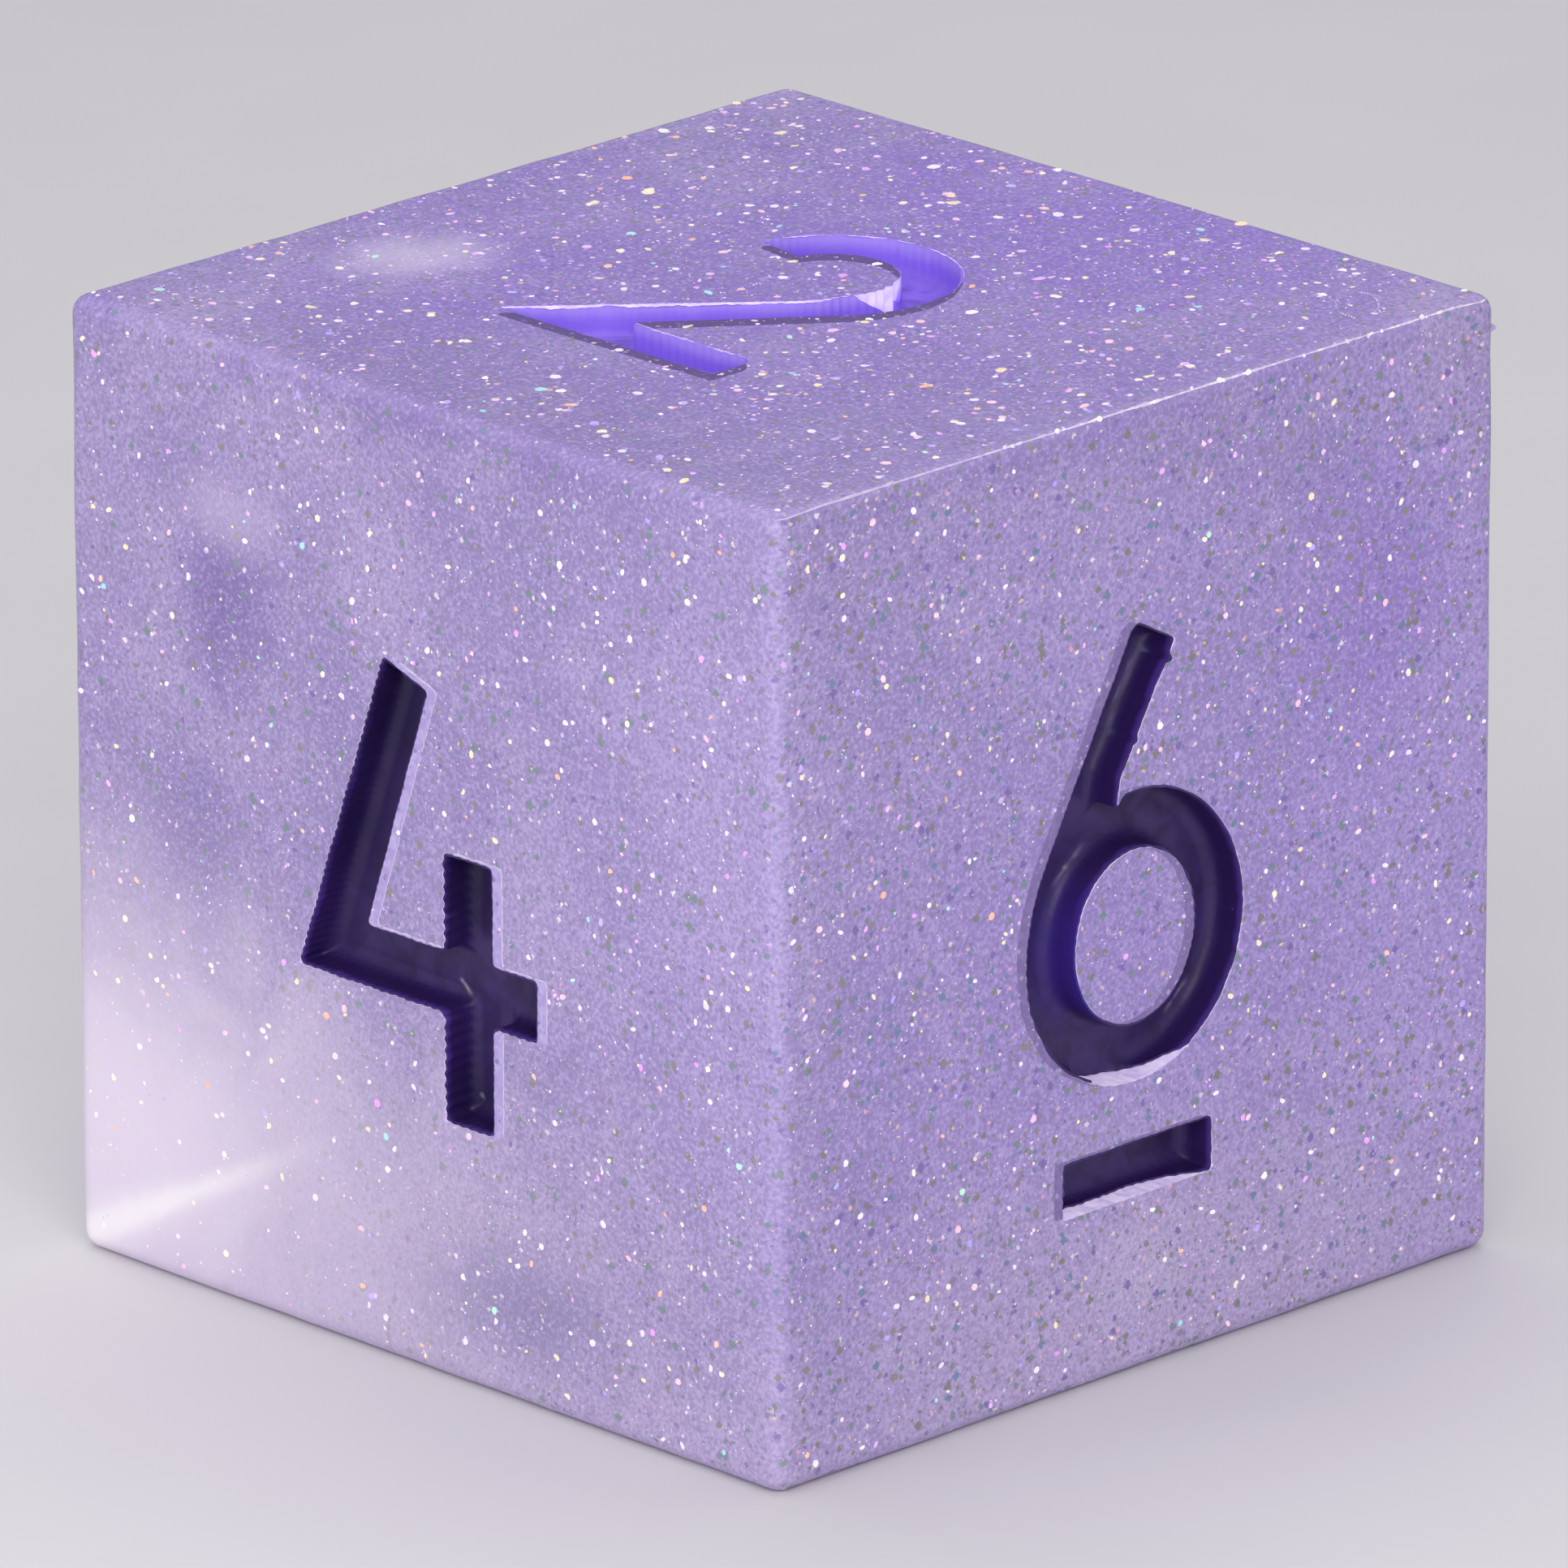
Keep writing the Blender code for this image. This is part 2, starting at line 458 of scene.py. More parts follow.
@dataclass(frozen=True)
class PaintedLightStreak:
    """A painted streak of light: a narrow soft highlight, widest and brightest at its start."""

    start: Place
    end: Place
    width: float
    colour: Colour
    strength: float
    wisp: float = 0.16
    wisps: Texture = Texture(0.5, 3.0)
    full_until: float = 0.15

    def over(self, bench: Bench, where: Value, colour: Value) -> Value:
        """The colour with the streak in it.

        Args:
            bench: The material being made.
            where: The shaded point in millimetres.
            colour: The colour without the streak.

        Returns:
            The colour with the streak.
        """
        run = Vector(self.end) - Vector(self.start)
        offset = bench.vector("SUBTRACT", where, self.start).outputs[0]
        reached = bench.vector("DOT_PRODUCT", offset, tuple(run)).outputs[1]
        along = bench.math("DIVIDE", reached, run.length_squared)
        along = bench.math("MINIMUM", bench.math("MAXIMUM", along, 0.0), 1.0)
        foot = bench.add("ShaderNodeVectorMath", operation="SCALE")
        foot.inputs[0].default_value = tuple(run)
        bench.feed(foot.inputs["Scale"], along)
        aside = bench.vector("SUBTRACT", offset, foot.outputs[0]).outputs[0]
        away = bench.vector("LENGTH", aside).outputs[1]
        away = bench.math("ADD", away, self.wisps.waver(bench, where, self.wisp))
        fading = bench.between(along, self.full_until, 1.0, self.strength, 0.0)
        soft = bench.between(away, self.width, 0.0)
        core = bench.math("MULTIPLY", soft, soft)
        return bench.mix(bench.math("MULTIPLY", core, fading), colour, self.colour)


@dataclass(frozen=True)
class ResinFinish:
    """Satin lavender resin, cloudy inside and full of fine glitter, with painted light and shade on its
    faces.
    """

    name: str = "glitter_resin"
    deep: Colour = (0.362, 0.290, 0.585)
    pale: Colour = (0.465, 0.380, 0.670)
    # painted highlight: a pale colour laid along the rounded edges
    painted_edge_highlight: Colour = (0.62, 0.54, 0.80)
    edge_reach: float = 0.30
    edge_full_at: float = 0.04
    edge_share: float = 0.14
    edge_wisps: Texture = Texture(0.6, 3.0)
    edge_wisp: float = 0.16
    cloudy: Texture = Texture(3.2, 4.0, 0.6)
    grain: Texture = Texture(0.068)
    grain_share: float = 0.24
    dark_grain: Colour = (0.10, 0.08, 0.18)
    light_grain: Colour = (0.74, 0.66, 0.93)
    jitter_grain: float = 0.09
    jitter: float = 0.11
    quiet_side: float = 0.50
    busy_side: float = 1.30
    busy_from: float = -7.60
    busy_at: float = -7.95
    sheen: Texture = Texture(0.9, 3.0)
    roughness: tuple[float, float] = (0.37, 0.48)
    frost: Relief = Relief(Texture(0.055, 3.0), 0.004, 0.55)
    dents: Relief = Relief(Texture(1.6), 0.030, 0.30)
    clouds_and_painted_face_shading: tuple[Cloud, ...] = (
        # painted shade: the top face tinted darker and more violet than the sides, greyer towards its front
        # edges
        Cloud((0.0, 0.0, 16.6), (17.0, 17.0, 1.5), (0.285, 0.170, 0.670), 0.85),
        Cloud((7.0, -1.0, 16.2), (6.0, 9.0, 1.5), (0.305, 0.185, 0.720), 0.60),
        Cloud((-8.0, -1.0, 16.2), (4.5, 9.0, 1.5), (0.300, 0.225, 0.520), 0.65),
        Cloud((-5.0, -7.0, 16.2), (9.0, 5.0, 1.5), (0.315, 0.240, 0.560), 0.55),
        # painted light: the face with the six given its own tint, lighter towards its right and its bottom
        Cloud((2.0, -8.3, 5.0), (16.0, 2.0, 18.0), (0.402, 0.300, 0.710), 0.80),
        Cloud((8.0, -8.3, 6.0), (6.5, 2.0, 13.0), (0.478, 0.370, 0.790), 0.70),
        Cloud((0.0, -8.3, 0.0), (13.0, 2.0, 6.5), (0.552, 0.458, 0.710), 0.80),
        # painted light: the face with the four lighter towards its front edge and its bottom
        Cloud((-8.3, -8.0, 10.0), (2.0, 6.5, 11.0), (0.460, 0.375, 0.700), 0.70),
        Cloud((-8.3, 0.0, 0.0), (2.0, 13.0, 8.0), (0.540, 0.455, 0.670), 0.75),
        Cloud((-8.0, 4.4, 11.8), (2.0, 1.7, 2.4), (0.225, 0.160, 0.460), 0.72, 1.0),
        Cloud((-8.0, 5.2, 8.0), (2.0, 1.7, 3.2), (0.270, 0.205, 0.500), 0.50, 1.0),
        Cloud((-8.0, -2.1, 1.6), (2.0, 3.3, 1.6), (0.225, 0.185, 0.440), 0.75, 1.0),
        Cloud((5.2, -8.0, 12.0), (2.6, 2.0, 4.0), (0.350, 0.235, 0.690), 0.60),
        Cloud((0.0, -8.0, 1.8), (1.5, 2.0, 1.2), (0.620, 0.540, 0.760), 0.40),
    )
    painted_glow_and_pale_patches: tuple[Cloud | PaintedLightStreak, ...] = (
        # painted light: a glow and streaks of light low on the face with the four; then two pale patches
        Cloud((-8.3, 6.0, 1.6), (3.0, 12.5, 6.4), (0.620, 0.545, 0.720), 0.62, 0.3),
        Cloud((-8.3, 7.8, 2.6), (4.0, 9.0, 6.8), (0.760, 0.680, 0.840), 0.76, 0.3),
        Cloud((-8.3, 7.2, 2.2), (3.0, 4.6, 3.6), (0.870, 0.790, 0.920), 0.72, 0.3),
        PaintedLightStreak((-8.0, 7.9, 0.25), (-8.0, 1.6, 3.55), 0.45, (1.00, 0.96, 1.00), 1.0),
        PaintedLightStreak((-8.0, 7.9, 0.25), (-8.0, 4.6, 1.98), 0.85, (0.99, 0.94, 1.00), 0.9),
        Cloud((-8.0, 4.3, 13.2), (1.5, 1.6, 1.0), (0.68, 0.60, 0.82), 0.38, 1.0),
        Cloud((-2.8, 5.5, 16.0), (1.8, 1.5, 1.5), (0.78, 0.70, 0.92), 0.50, 1.0),
    )
    layers: tuple[FleckLayer, ...] = (
        FleckLayer(0.115, 0.74, (0.040, 0.088), 0.044, 0.72,
                   ((0.54, 0.47, 0.76), (0.22, 0.17, 0.40), (0.50, 0.42, 0.74), (0.27, 0.24, 0.42))),
        FleckLayer(0.158, 0.62, (0.036, 0.124), 0.034, 0.84,
                   ((0.235, 0.245, 0.175), (0.165, 0.265, 0.390), (0.215, 0.160, 0.450),
                    (0.285, 0.280, 0.240), (0.205, 0.300, 0.280), (0.300, 0.250, 0.360)), uneven=True),
        FleckLayer(0.150, 0.26, (0.026, 0.075), 0.028, 0.85,
                   ((0.88, 0.78, 0.84), (0.80, 0.52, 0.88), (0.90, 0.64, 0.44), (0.55, 0.42, 0.95),
                    (0.88, 0.50, 0.64), (0.92, 0.90, 0.96))),
    )

    def build(self) -> bpy.types.Material:
        """The resin's material.

        Returns:
            The material.
        """
        bench = Bench(self.name)
        where = bench.place()
        cloudy = self.cloudy.at(bench, where)
        colour = bench.mix(bench.between(cloudy, 0.30, 0.72), self.deep, self.pale)
        # resin clouds, with painted light and shade on each face
        for cloud in self.clouds_and_painted_face_shading:
            colour = cloud.over(bench, where, colour)
        grain = self.grain.at(bench, where)
        darker = bench.between(grain, 0.58, 0.35, 0.0, self.grain_share)
        colour = bench.mix(darker, colour, self.dark_grain)
        lighter = bench.between(grain, 0.52, 0.70, 0.0, self.grain_share)
        colour = bench.mix(lighter, colour, self.light_grain)
        colour = self._flecked(bench, where, colour)
        # painted glow, light streaks and pale patches
        for cloud in self.painted_glow_and_pale_patches:
            colour = cloud.over(bench, where, colour)
        # painted highlight along the rounded edges
        colour = bench.mix(self._painted_edge_highlight(bench, where), colour, self.painted_edge_highlight)
        rough = bench.between(self.sheen.at(bench, where), 0.3, 0.7, *self.roughness)
        normal = self.frost.normal(bench, where)
        normal = self.dents.normal(bench, where, normal)
        bench.set(
            Base_Color=colour, Roughness=rough, Normal=normal, IOR=1.50,
            Subsurface_Weight=0.12, Subsurface_Scale=0.4 * METRES_PER_MM,
            Subsurface_Radius=(1.0, 0.75, 1.25), Specular_IOR_Level=0.35,
        )
        return bench.material

    def _flecked(self, bench: Bench, where: Value, colour: Value) -> Value:
        """The colour with every layer of flecks in it, their outlines shaken out of shape.

        Args:
            bench: The material being made.
            where: The shaded point in millimetres.
            colour: The colour without flecks.

        Returns:
            The flecked colour.
        """
        jitter = bench.add("ShaderNodeTexNoise")
        bench.feed(jitter.inputs["Vector"], where)
        jitter.inputs["Scale"].default_value = 1 / self.jitter_grain
        shaken = bench.vector("MULTIPLY", jitter.outputs["Color"], (self.jitter,) * 3).outputs[0]
        shaken = bench.vector("ADD", where, shaken).outputs[0]
        sides = bench.add("ShaderNodeSeparateXYZ")
        bench.feed(sides.inputs[0], where)
        crowd = bench.between(
            sides.outputs[1], self.busy_from, self.busy_at, self.quiet_side, self.busy_side,
        )
        for layer in self.layers:
            cover, shade = layer.masks(bench, shaken, crowd if layer.uneven else 1.0)
            colour = bench.mix(cover, colour, shade)
        return colour

    def _painted_edge_highlight(self, bench: Bench, where: Value) -> Value:
        """How much painted highlight the shaded point gets near the rounded edges, from 0 to 1.

        Args:
            bench: The material being made.
            where: The shaded point in millimetres.

        Returns:
            The share of painted edge highlight.
        """
        middle, half = die_box()
        offset = bench.vector("SUBTRACT", where, tuple(middle)).outputs[0]
        parts = bench.add("ShaderNodeSeparateXYZ")
        bench.feed(parts.inputs[0], bench.vector("ABSOLUTE", offset).outputs[0])
        x, y, z = parts.outputs
        largest = bench.math("MAXIMUM", bench.math("MAXIMUM", x, y), z)
        smallest = bench.math("MINIMUM", bench.math("MINIMUM", x, y), z)
        total = bench.math("ADD", bench.math("ADD", x, y), z)
        middle_one = bench.math("SUBTRACT", bench.math("SUBTRACT", total, largest), smallest)
        near = bench.math("ADD", middle_one, self.edge_wisps.waver(bench, where, self.edge_wisp))
        start, end = half.x - self.edge_reach, half.x - self.edge_full_at
        return bench.between(near, start, end, 0.0, self.edge_share)


@dataclass(frozen=True)
class BareWallFinish:
    """Resin walls with no paint on them: a pale colour and a glow, both painted light standing in for light
    coming through the resin.
    """

    pale: Colour = (0.82, 0.72, 0.97)
    deep: Colour = (0.66, 0.54, 0.90)
    # painted glow: emission standing in for light through the resin
    painted_glow: float = 0.38
    stains: Texture = Texture(0.22, 4.0, 0.5)
    relief: Relief = Relief(Texture(0.07, 3.0), 0.010, 0.5)
    roughness: tuple[float, float] = (0.22, 0.40)

    def build(self) -> bpy.types.Material:
        """The bare walls' material.

        Returns:
            The material.
        """
        bench = Bench("resin_wall")
        where = bench.place()
        stains = self.stains.at(bench, where)
        colour = bench.mix(bench.between(stains, 0.32, 0.68), self.deep, self.pale)
        rough = bench.between(stains, 0.3, 0.7, *self.roughness)
        bench.set(
            Base_Color=colour, Roughness=rough, Normal=self.relief.normal(bench, where),
            # the emission is a painted glow
            Emission_Color=colour, Emission_Strength=self.painted_glow,
        )
        return bench.material


@dataclass(frozen=True)
class BandFinish:
    """A streaked strip of resin colour: a painted band standing in for an engraved wall seen through the
    resin, or a plain mark of resin.
    """

    name: str
    main: Colour
    streak: Colour
    streaks: Texture = Texture(0.16, 4.0, 0.6)
    roughness: tuple[float, float] = (0.30, 0.42)

    def build(self) -> bpy.types.Material:
        """The band's material.

        Returns:
            The material.
        """
        bench = Bench(self.name)
        where = bench.place()
        streaks = self.streaks.at(bench, where)
        colour = bench.mix(bench.between(streaks, 0.38, 0.72), self.main, self.streak)
        cover, shade = ResinFinish().layers[0].masks(bench, where)
        colour = bench.mix(cover, colour, shade)
        rough = bench.between(streaks, 0.3, 0.7, *self.roughness)
        bench.set(Base_Color=colour, Roughness=rough, Normal=FROST.normal(bench, where))
        return bench.material


@dataclass(frozen=True)
class FlashFinish:
    """Flash on the seam: white where it stands up, almost clear between, with a painted glow in the white.
    """

    white: Colour = (0.97, 0.93, 0.99)
    clear: Colour = (0.64, 0.54, 0.83)
    # painted glow: emission in the white of the flash
    painted_glow: float = 0.22
    streaks: Texture = Texture(0.20, 4.0, 0.5)
    least_white: float = 0.45
    thin_end: tuple[float, float] = (-6.5, 0.35)
    roughness: tuple[float, float] = (0.26, 0.40)

    def build(self) -> bpy.types.Material:
        """The flash's material.

        Returns:
            The material.
        """
        bench = Bench("seam_flash")
        where = bench.place()
        streaks = bench.between(self.streaks.at(bench, where), 0.40, 0.60)
        along = bench.add("ShaderNodeSeparateXYZ")
        bench.feed(along.inputs[0], where)
        end, share_there = self.thin_end
        fading = bench.between(along.outputs[0], end, 0.0, share_there, 1.0)
        share = bench.math("MULTIPLY", bench.math("MAXIMUM", streaks, self.least_white), fading)
        colour = bench.mix(share, self.clear, self.white)
        rough = bench.between(streaks, 0.0, 1.0, *self.roughness)
        # the emission is a painted glow
        bench.set(
            Base_Color=colour, Roughness=rough, Normal=FROST.normal(bench, where),
            Emission_Color=colour, Emission_Strength=bench.math("MULTIPLY", share, self.painted_glow),
        )
        return bench.material


@dataclass(frozen=True)
class PaintFinish:
    """Purple paint pooled in a recess, thin where it climbs the walls, which get a darker painted shade."""

    name: str
    face: FaceFrame
    pool: Colour = (0.050, 0.026, 0.140)
    # painted shade: the walls' colour, darker than the pool as if in shadow
    painted_shade_wall: Colour = (0.026, 0.010, 0.096)
    thin: Colour = (0.075, 0.032, 0.280)
    thin_reach: float = 0.16
    thin_full_at: float = 0.04
    thin_waver: float = 0.22
    # painted light and shade in the recess: dark patches, lighter patches and highlight streaks
    painted_light_and_shade: tuple[Cloud | PaintedLightStreak, ...] = ()
    smears: Texture = Texture(0.55, 4.0, 0.8)
    smear_shade: float = 0.62
    specks: FleckLayer = FleckLayer(
        0.30, 0.07, (0.02, 0.05), 0.03, 0.55, ((0.30, 0.26, 0.42), (0.16, 0.12, 0.34)),
    )
    roughness: tuple[float, float] = (0.42, 0.60)
    brush_marks: Relief = Relief(Texture(0.12, 3.0), 0.006, 0.5)
    sags: Relief = Relief(Texture(0.8), 0.03, 0.4)

    def build(self) -> bpy.types.Material:
        """The paint's material.

        Returns:
            The material.
        """
        bench = Bench(self.name)
        where = bench.place()
        outwards = tuple(self.face.outwards)
        height = bench.vector("DOT_PRODUCT", where, outwards).outputs[1]
        surface = self.face.centre.dot(self.face.outwards)
        depth = bench.math("SUBTRACT", surface, height)
        # the walls take the darker painted shade and the floor the pool's colour, by which way the surface
        # faces
        geometry = bench.add("ShaderNodeNewGeometry")
        facing = bench.vector("DOT_PRODUCT", geometry.outputs["True Normal"], outwards).outputs[1]
        pooled = bench.between(facing, 0.35, 0.95)
        smears = self.smears.at(bench, where)
        smeared = tuple(self.smear_shade * c for c in self.pool)
        pool = bench.mix(bench.between(smears, 0.35, 0.70), self.pool, smeared)
        ragged = bench.math("MULTIPLY_ADD", smears, self.thin_waver, -self.thin_waver / 2)
        near_rim = bench.between(bench.math("ADD", depth, ragged), self.thin_reach, self.thin_full_at)
        painted_shade_wall = bench.mix(near_rim, self.painted_shade_wall, self.thin)
        colour = bench.mix(pooled, painted_shade_wall, pool)
        # painted light and shade
        for painted_patch in self.painted_light_and_shade:
            colour = painted_patch.over(bench, where, colour)
        cover, shade = self.specks.masks(bench, where)
        colour = bench.mix(cover, colour, shade)
        rough = bench.between(smears, 0.3, 0.75, *self.roughness)
        normal = self.brush_marks.normal(bench, where)
        normal = self.sags.normal(bench, where, normal)
        bench.set(
            Base_Color=colour, Roughness=rough, Normal=normal, IOR=1.48,
            Coat_Weight=0.10, Coat_Roughness=0.16, Specular_IOR_Level=0.3,
        )
        return bench.material


@dataclass(frozen=True)
class FlakeFinish:
    """One colour of glitter: a mirrored flake in a clear film, each flake a little different, with a
    painted glint.
    """

    name: str
    colour: Colour
    partner: Colour
    metallic: float = 0.2
    roughness: tuple[float, float] = (0.18, 0.34)
    # painted glint: emission that brightens the flake like a sparkle
    painted_glint: float = 0.30
    drift: Texture = Texture(0.35, 1.0)
    relief: Relief = Relief(Texture(0.03, 1.0), 0.002, 0.4)

    def build(self) -> bpy.types.Material:
        """The flake's material.

        Returns:
            The material.
        """
        bench = Bench("glitter_" + self.name)
        where = bench.place()
        drift = self.drift.at(bench, where)
        colour = bench.mix(bench.between(drift, 0.36, 0.64), self.colour, self.partner)
        rough = bench.between(drift, 0.3, 0.7, *self.roughness)
        bench.set(
            Base_Color=colour, Roughness=rough, Normal=self.relief.normal(bench, where),
            Metallic=self.metallic, Coat_Weight=0.5, Coat_Roughness=0.1,
            Emission_Color=colour, Emission_Strength=self.painted_glint,
        )
        return bench.material


@dataclass(frozen=True)
class FloorFinish:
    """A plain pale studio floor."""

    colour: Colour = (0.78, 0.77, 0.78)
    mottle: Texture = Texture(6.0, 3.0)
    mottle_shade: float = 0.98
    roughness: float = 0.75

    def build(self) -> bpy.types.Material:
        """The floor's material.

        Returns:
            The material.
        """
        bench = Bench("studio_floor")
        where = bench.place()
        mottle = bench.between(self.mottle.at(bench, where), 0.3, 0.7)
        colour = bench.mix(mottle, self.colour, tuple(self.mottle_shade * c for c in self.colour))
        bench.set(Base_Color=colour, Roughness=self.roughness)
        return bench.material


# ---------------------------------------------------------------- engraved outlines


class PaintedSeeThroughBand(Enum):
    """Painted bands beside a recess standing in for its hidden wall seen through the resin: painted
    reflections where it looks silver or bright, painted shade where it looks faint or dark.
    """

    # painted reflection: the hidden wall glinting silver or bright through the resin
    SILVER = BandFinish("painted_reflection_silver", (0.43, 0.34, 0.70), (0.56, 0.48, 0.80))
    BRIGHT = BandFinish("painted_reflection_bright", (0.74, 0.68, 0.88), (0.50, 0.42, 0.74))
    # painted shade: a darker band where the painted wall shows through the resin
    FAINT = BandFinish("painted_shade_band_faint", (0.215, 0.155, 0.400), (0.28, 0.21, 0.47))
    DARK = BandFinish("painted_shade_band_dark", (0.085, 0.040, 0.245), (0.120, 0.065, 0.310))


@dataclass(frozen=True)
class Band:
    """A painted band beside a recess, standing in for the wall seen through the resin: how it looks, its
    sideways shift and how far it is drawn in.
    """

    look: PaintedSeeThroughBand
    shift: Point
    inset: float = 0.0


@dataclass(frozen=True)
class BareStretch:
    """A stretch of wall left bare down to part of its depth, with the length of its fade each way."""

    centre: Point
    half: Point
    fades: tuple[float, float, float, float]
    part: float = 1.0

    def share(self, x: float, y: float) -> float:
        """How bare the wall is at a point of the drawing, from 0 to 1.

        Args:
            x: How far right the point lies.
            y: How far towards the head it lies.

        Returns:
            The share, which reaches the stretch's part where it is bare.
        """
        (centre_x, centre_y), (half_x, half_y) = self.centre, self.half
        gaps = (x - centre_x + half_x, centre_x + half_x - x, y - centre_y + half_y, centre_y + half_y - y)
        return self.part * max(0.0, min(1.0, *(gap / fade for gap, fade in zip(gaps, self.fades))))


@dataclass
class Engraving:
    """One engraved numeral: its outlines off the CAD body, and how its master was made."""

    name: str
    face: FaceFrame
    bands: tuple[Band, ...] = ()
    bare: tuple[BareStretch, ...] = ()
    nicks: tuple[tuple[float, float, float], ...] = ()
    nick_reach: float = 0.10
    spacing: float = 0.036
    corner_passes: int = 6
    step_pitch: float = 0.137
    step_depth: float = 0.060
    least_steps: float = 0.22
    smooth_way: Point = (0.9, 0.45)
    wall_waver: float = 0.012
    waver_pitch: float = 0.5
    floor_margin: float = 0.08
    loops: list[Loop] = field(default_factory=list)
    depth: float = 0.0

    @property
    def node(self) -> str:
        """The CAD node of this numeral's paint."""
        return self.name + "_paint"

    def read(self) -> None:
        """Reads the outlines and the depth off the floor of the recess in the CAD body."""
        body = bmesh.new()
        body.from_mesh(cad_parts[BODY_NODE].data)
        bmesh.ops.scale(body, vec=(1 / METRES_PER_MM,) * 3, verts=body.verts)
        bmesh.ops.remove_doubles(body, verts=body.verts, dist=SAME_POINT)
        low, high = (corner / METRES_PER_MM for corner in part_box(self.node))
        margin = Vector((self.floor_margin,) * 3)
        floor = []
        for face in body.faces:
            middle = face.calc_center_median()
            inside = all(a <= m <= b for a, m, b in zip(low - margin, middle, high + margin))
            if inside and face.normal.dot(self.face.outwards) > 0.99:
                floor.append(face)
        self.depth = (self.face.centre - floor[0].calc_center_median()).dot(self.face.outwards)
        self.loops = self._chained(floor)
        body.free()

    def _chained(self, floor: list[bmesh.types.BMFace]) -> list[Loop]:
        """The floor's rims as loops of points, outer rim first, each with material on its left.

        Args:
            floor: The faces of the recess's floor.

        Returns:
            The rims in drawing coordinates.
        """
        chosen = set(floor)
        following = {}
        for face in floor:
            for corner in face.loops:
                if sum(other in chosen for other in corner.edge.link_faces) == 1:
                    following[corner.vert] = corner.link_loop_next.vert
        loops = []
        while following:
            first = min(following, key=lambda vert: vert.index)
            loop, here = [], first
            while here in following:
                loop.append(self.face.flat(here.co))
                here = following.pop(here)
            loops.append(self._without_straights(loop))
        return sorted(loops, key=lambda loop: -abs(signed_area(loop)))

    @staticmethod
    def _without_straights(loop: Loop) -> Loop:
        """The loop without points that lie on a straight line between their neighbours.

        Args:
            loop: The points of one rim.

        Returns:
            Its corners.
        """
        kept = []
        for i, (x, y) in enumerate(loop):
            (x0, y0), (x1, y1) = loop[i - 1], loop[(i + 1) % len(loop)]
            if abs((x - x0) * (y1 - y) - (x1 - x) * (y - y0)) > STRAIGHT:
                kept.append((x, y))
        return kept

    def ring(self, inset: float, steps: float, shift: Point = (0.0, 0.0)) -> list[np.ndarray]:
        """The outlines moved into the recess, rounded at their corners and stepped like the master.

        Args:
            inset: how far into the recess, negative for outwards.
            steps: the share of the steps' depth, from 0 to 1.
            shift: a sideways move of the whole outline.

        Returns:
            One array of points per loop, with the same count whatever the inset.
        """
        rings = []
        for loop in self.loops:
            corners = np.array(mitred(loop, inset))
            points = []
            for i, here in enumerate(loop):
                length = math.dist(here, loop[(i + 1) % len(loop)])
                count = max(1, round(length / self.spacing))
                shares = (np.arange(count) / count)[:, None]
                points.append(corners[i] * (1 - shares) + corners[(i + 1) % len(loop)] * shares)
            points = np.concatenate(points)
            for _ in range(self.corner_passes):
                points = (np.roll(points, 1, 0) + 2 * points + np.roll(points, -1, 0)) / 4
            tangent = np.roll(points, -1, 0) - np.roll(points, 1, 0)
            tangent /= np.linalg.norm(tangent, axis=1)[:, None] + 1e-12
            outward = np.stack([tangent[:, 1], -tangent[:, 0]], 1)
            rings.append(points + outward * self._steps(points, outward)[:, None] * steps + np.array(shift))
        return rings

    def _steps(self, points: np.ndarray, outward: np.ndarray) -> np.ndarray:
        """The layer steps that the printed master left along the walls, outwards in millimetres.

        Args:
            points: Points along one rim.
            outward: The way out of the recess at each point.

        Returns:
            How far each point moves outwards.
        """
        along = (points[:, 0] + points[:, 1]) * math.sqrt(0.5) / self.step_pitch
        saw = np.abs((along % 1.0) - 0.5) * 2 - 0.5
        right, head = self.smooth_way
        rough_side = np.clip(-(outward[:, 0] * right + outward[:, 1] * head), 0, 1)
        roughness = self.least_steps + (1 - self.least_steps) * rough_side**2
        waver = [ripple(Vector((x, y, 0)), self.waver_pitch, len(self.name)) for x, y in points]
        steps = saw * self.step_depth * roughness + np.array(waver) * self.wall_waver
        for x, y, depth in self.nicks:
            away = np.hypot(points[:, 0] - x, points[:, 1] - y)
            steps += depth * np.clip(1 - away / self.nick_reach, 0, 1)
        return steps

    def inside(self, x: float, y: float, margin: float) -> bool:
        """Whether a point on the face lies within the recess or its margin.

        Args:
            x: How far right the point lies.
            y: How far towards the head it lies.
            margin: The width of the strip round the recess that counts as inside.

        Returns:
            Whether the point is in the recess or the strip.
        """
        hit = False
        for loop in self.loops:
            for (x0, y0), (x1, y1) in zip(loop, loop[1:] + loop[:1]):
                if (y0 > y) != (y1 > y) and x < (x1 - x0) * (y - y0) / (y1 - y0) + x0:
                    hit = not hit
                run = Vector((x1 - x0, y1 - y0))
                share = max(0.0, min(1.0, Vector((x - x0, y - y0)).dot(run) / run.length_squared))
                if math.dist((x, y), (x0 + run.x * share, y0 + run.y * share)) < margin:
                    return True
        return hit


def signed_area(loop: Loop) -> float:
    """The area inside a loop, positive where it runs anticlockwise."""
    pairs = zip(loop, loop[1:] + loop[:1])
    return sum(x0 * y1 - x1 * y0 for (x0, y0), (x1, y1) in pairs) / 2


def turned_left(loop: Loop | np.ndarray) -> Loop:
    """The loop, reversed if need be to run anticlockwise."""
    points = [tuple(point) for point in loop]
    return points if signed_area(points) > 0 else points[::-1]


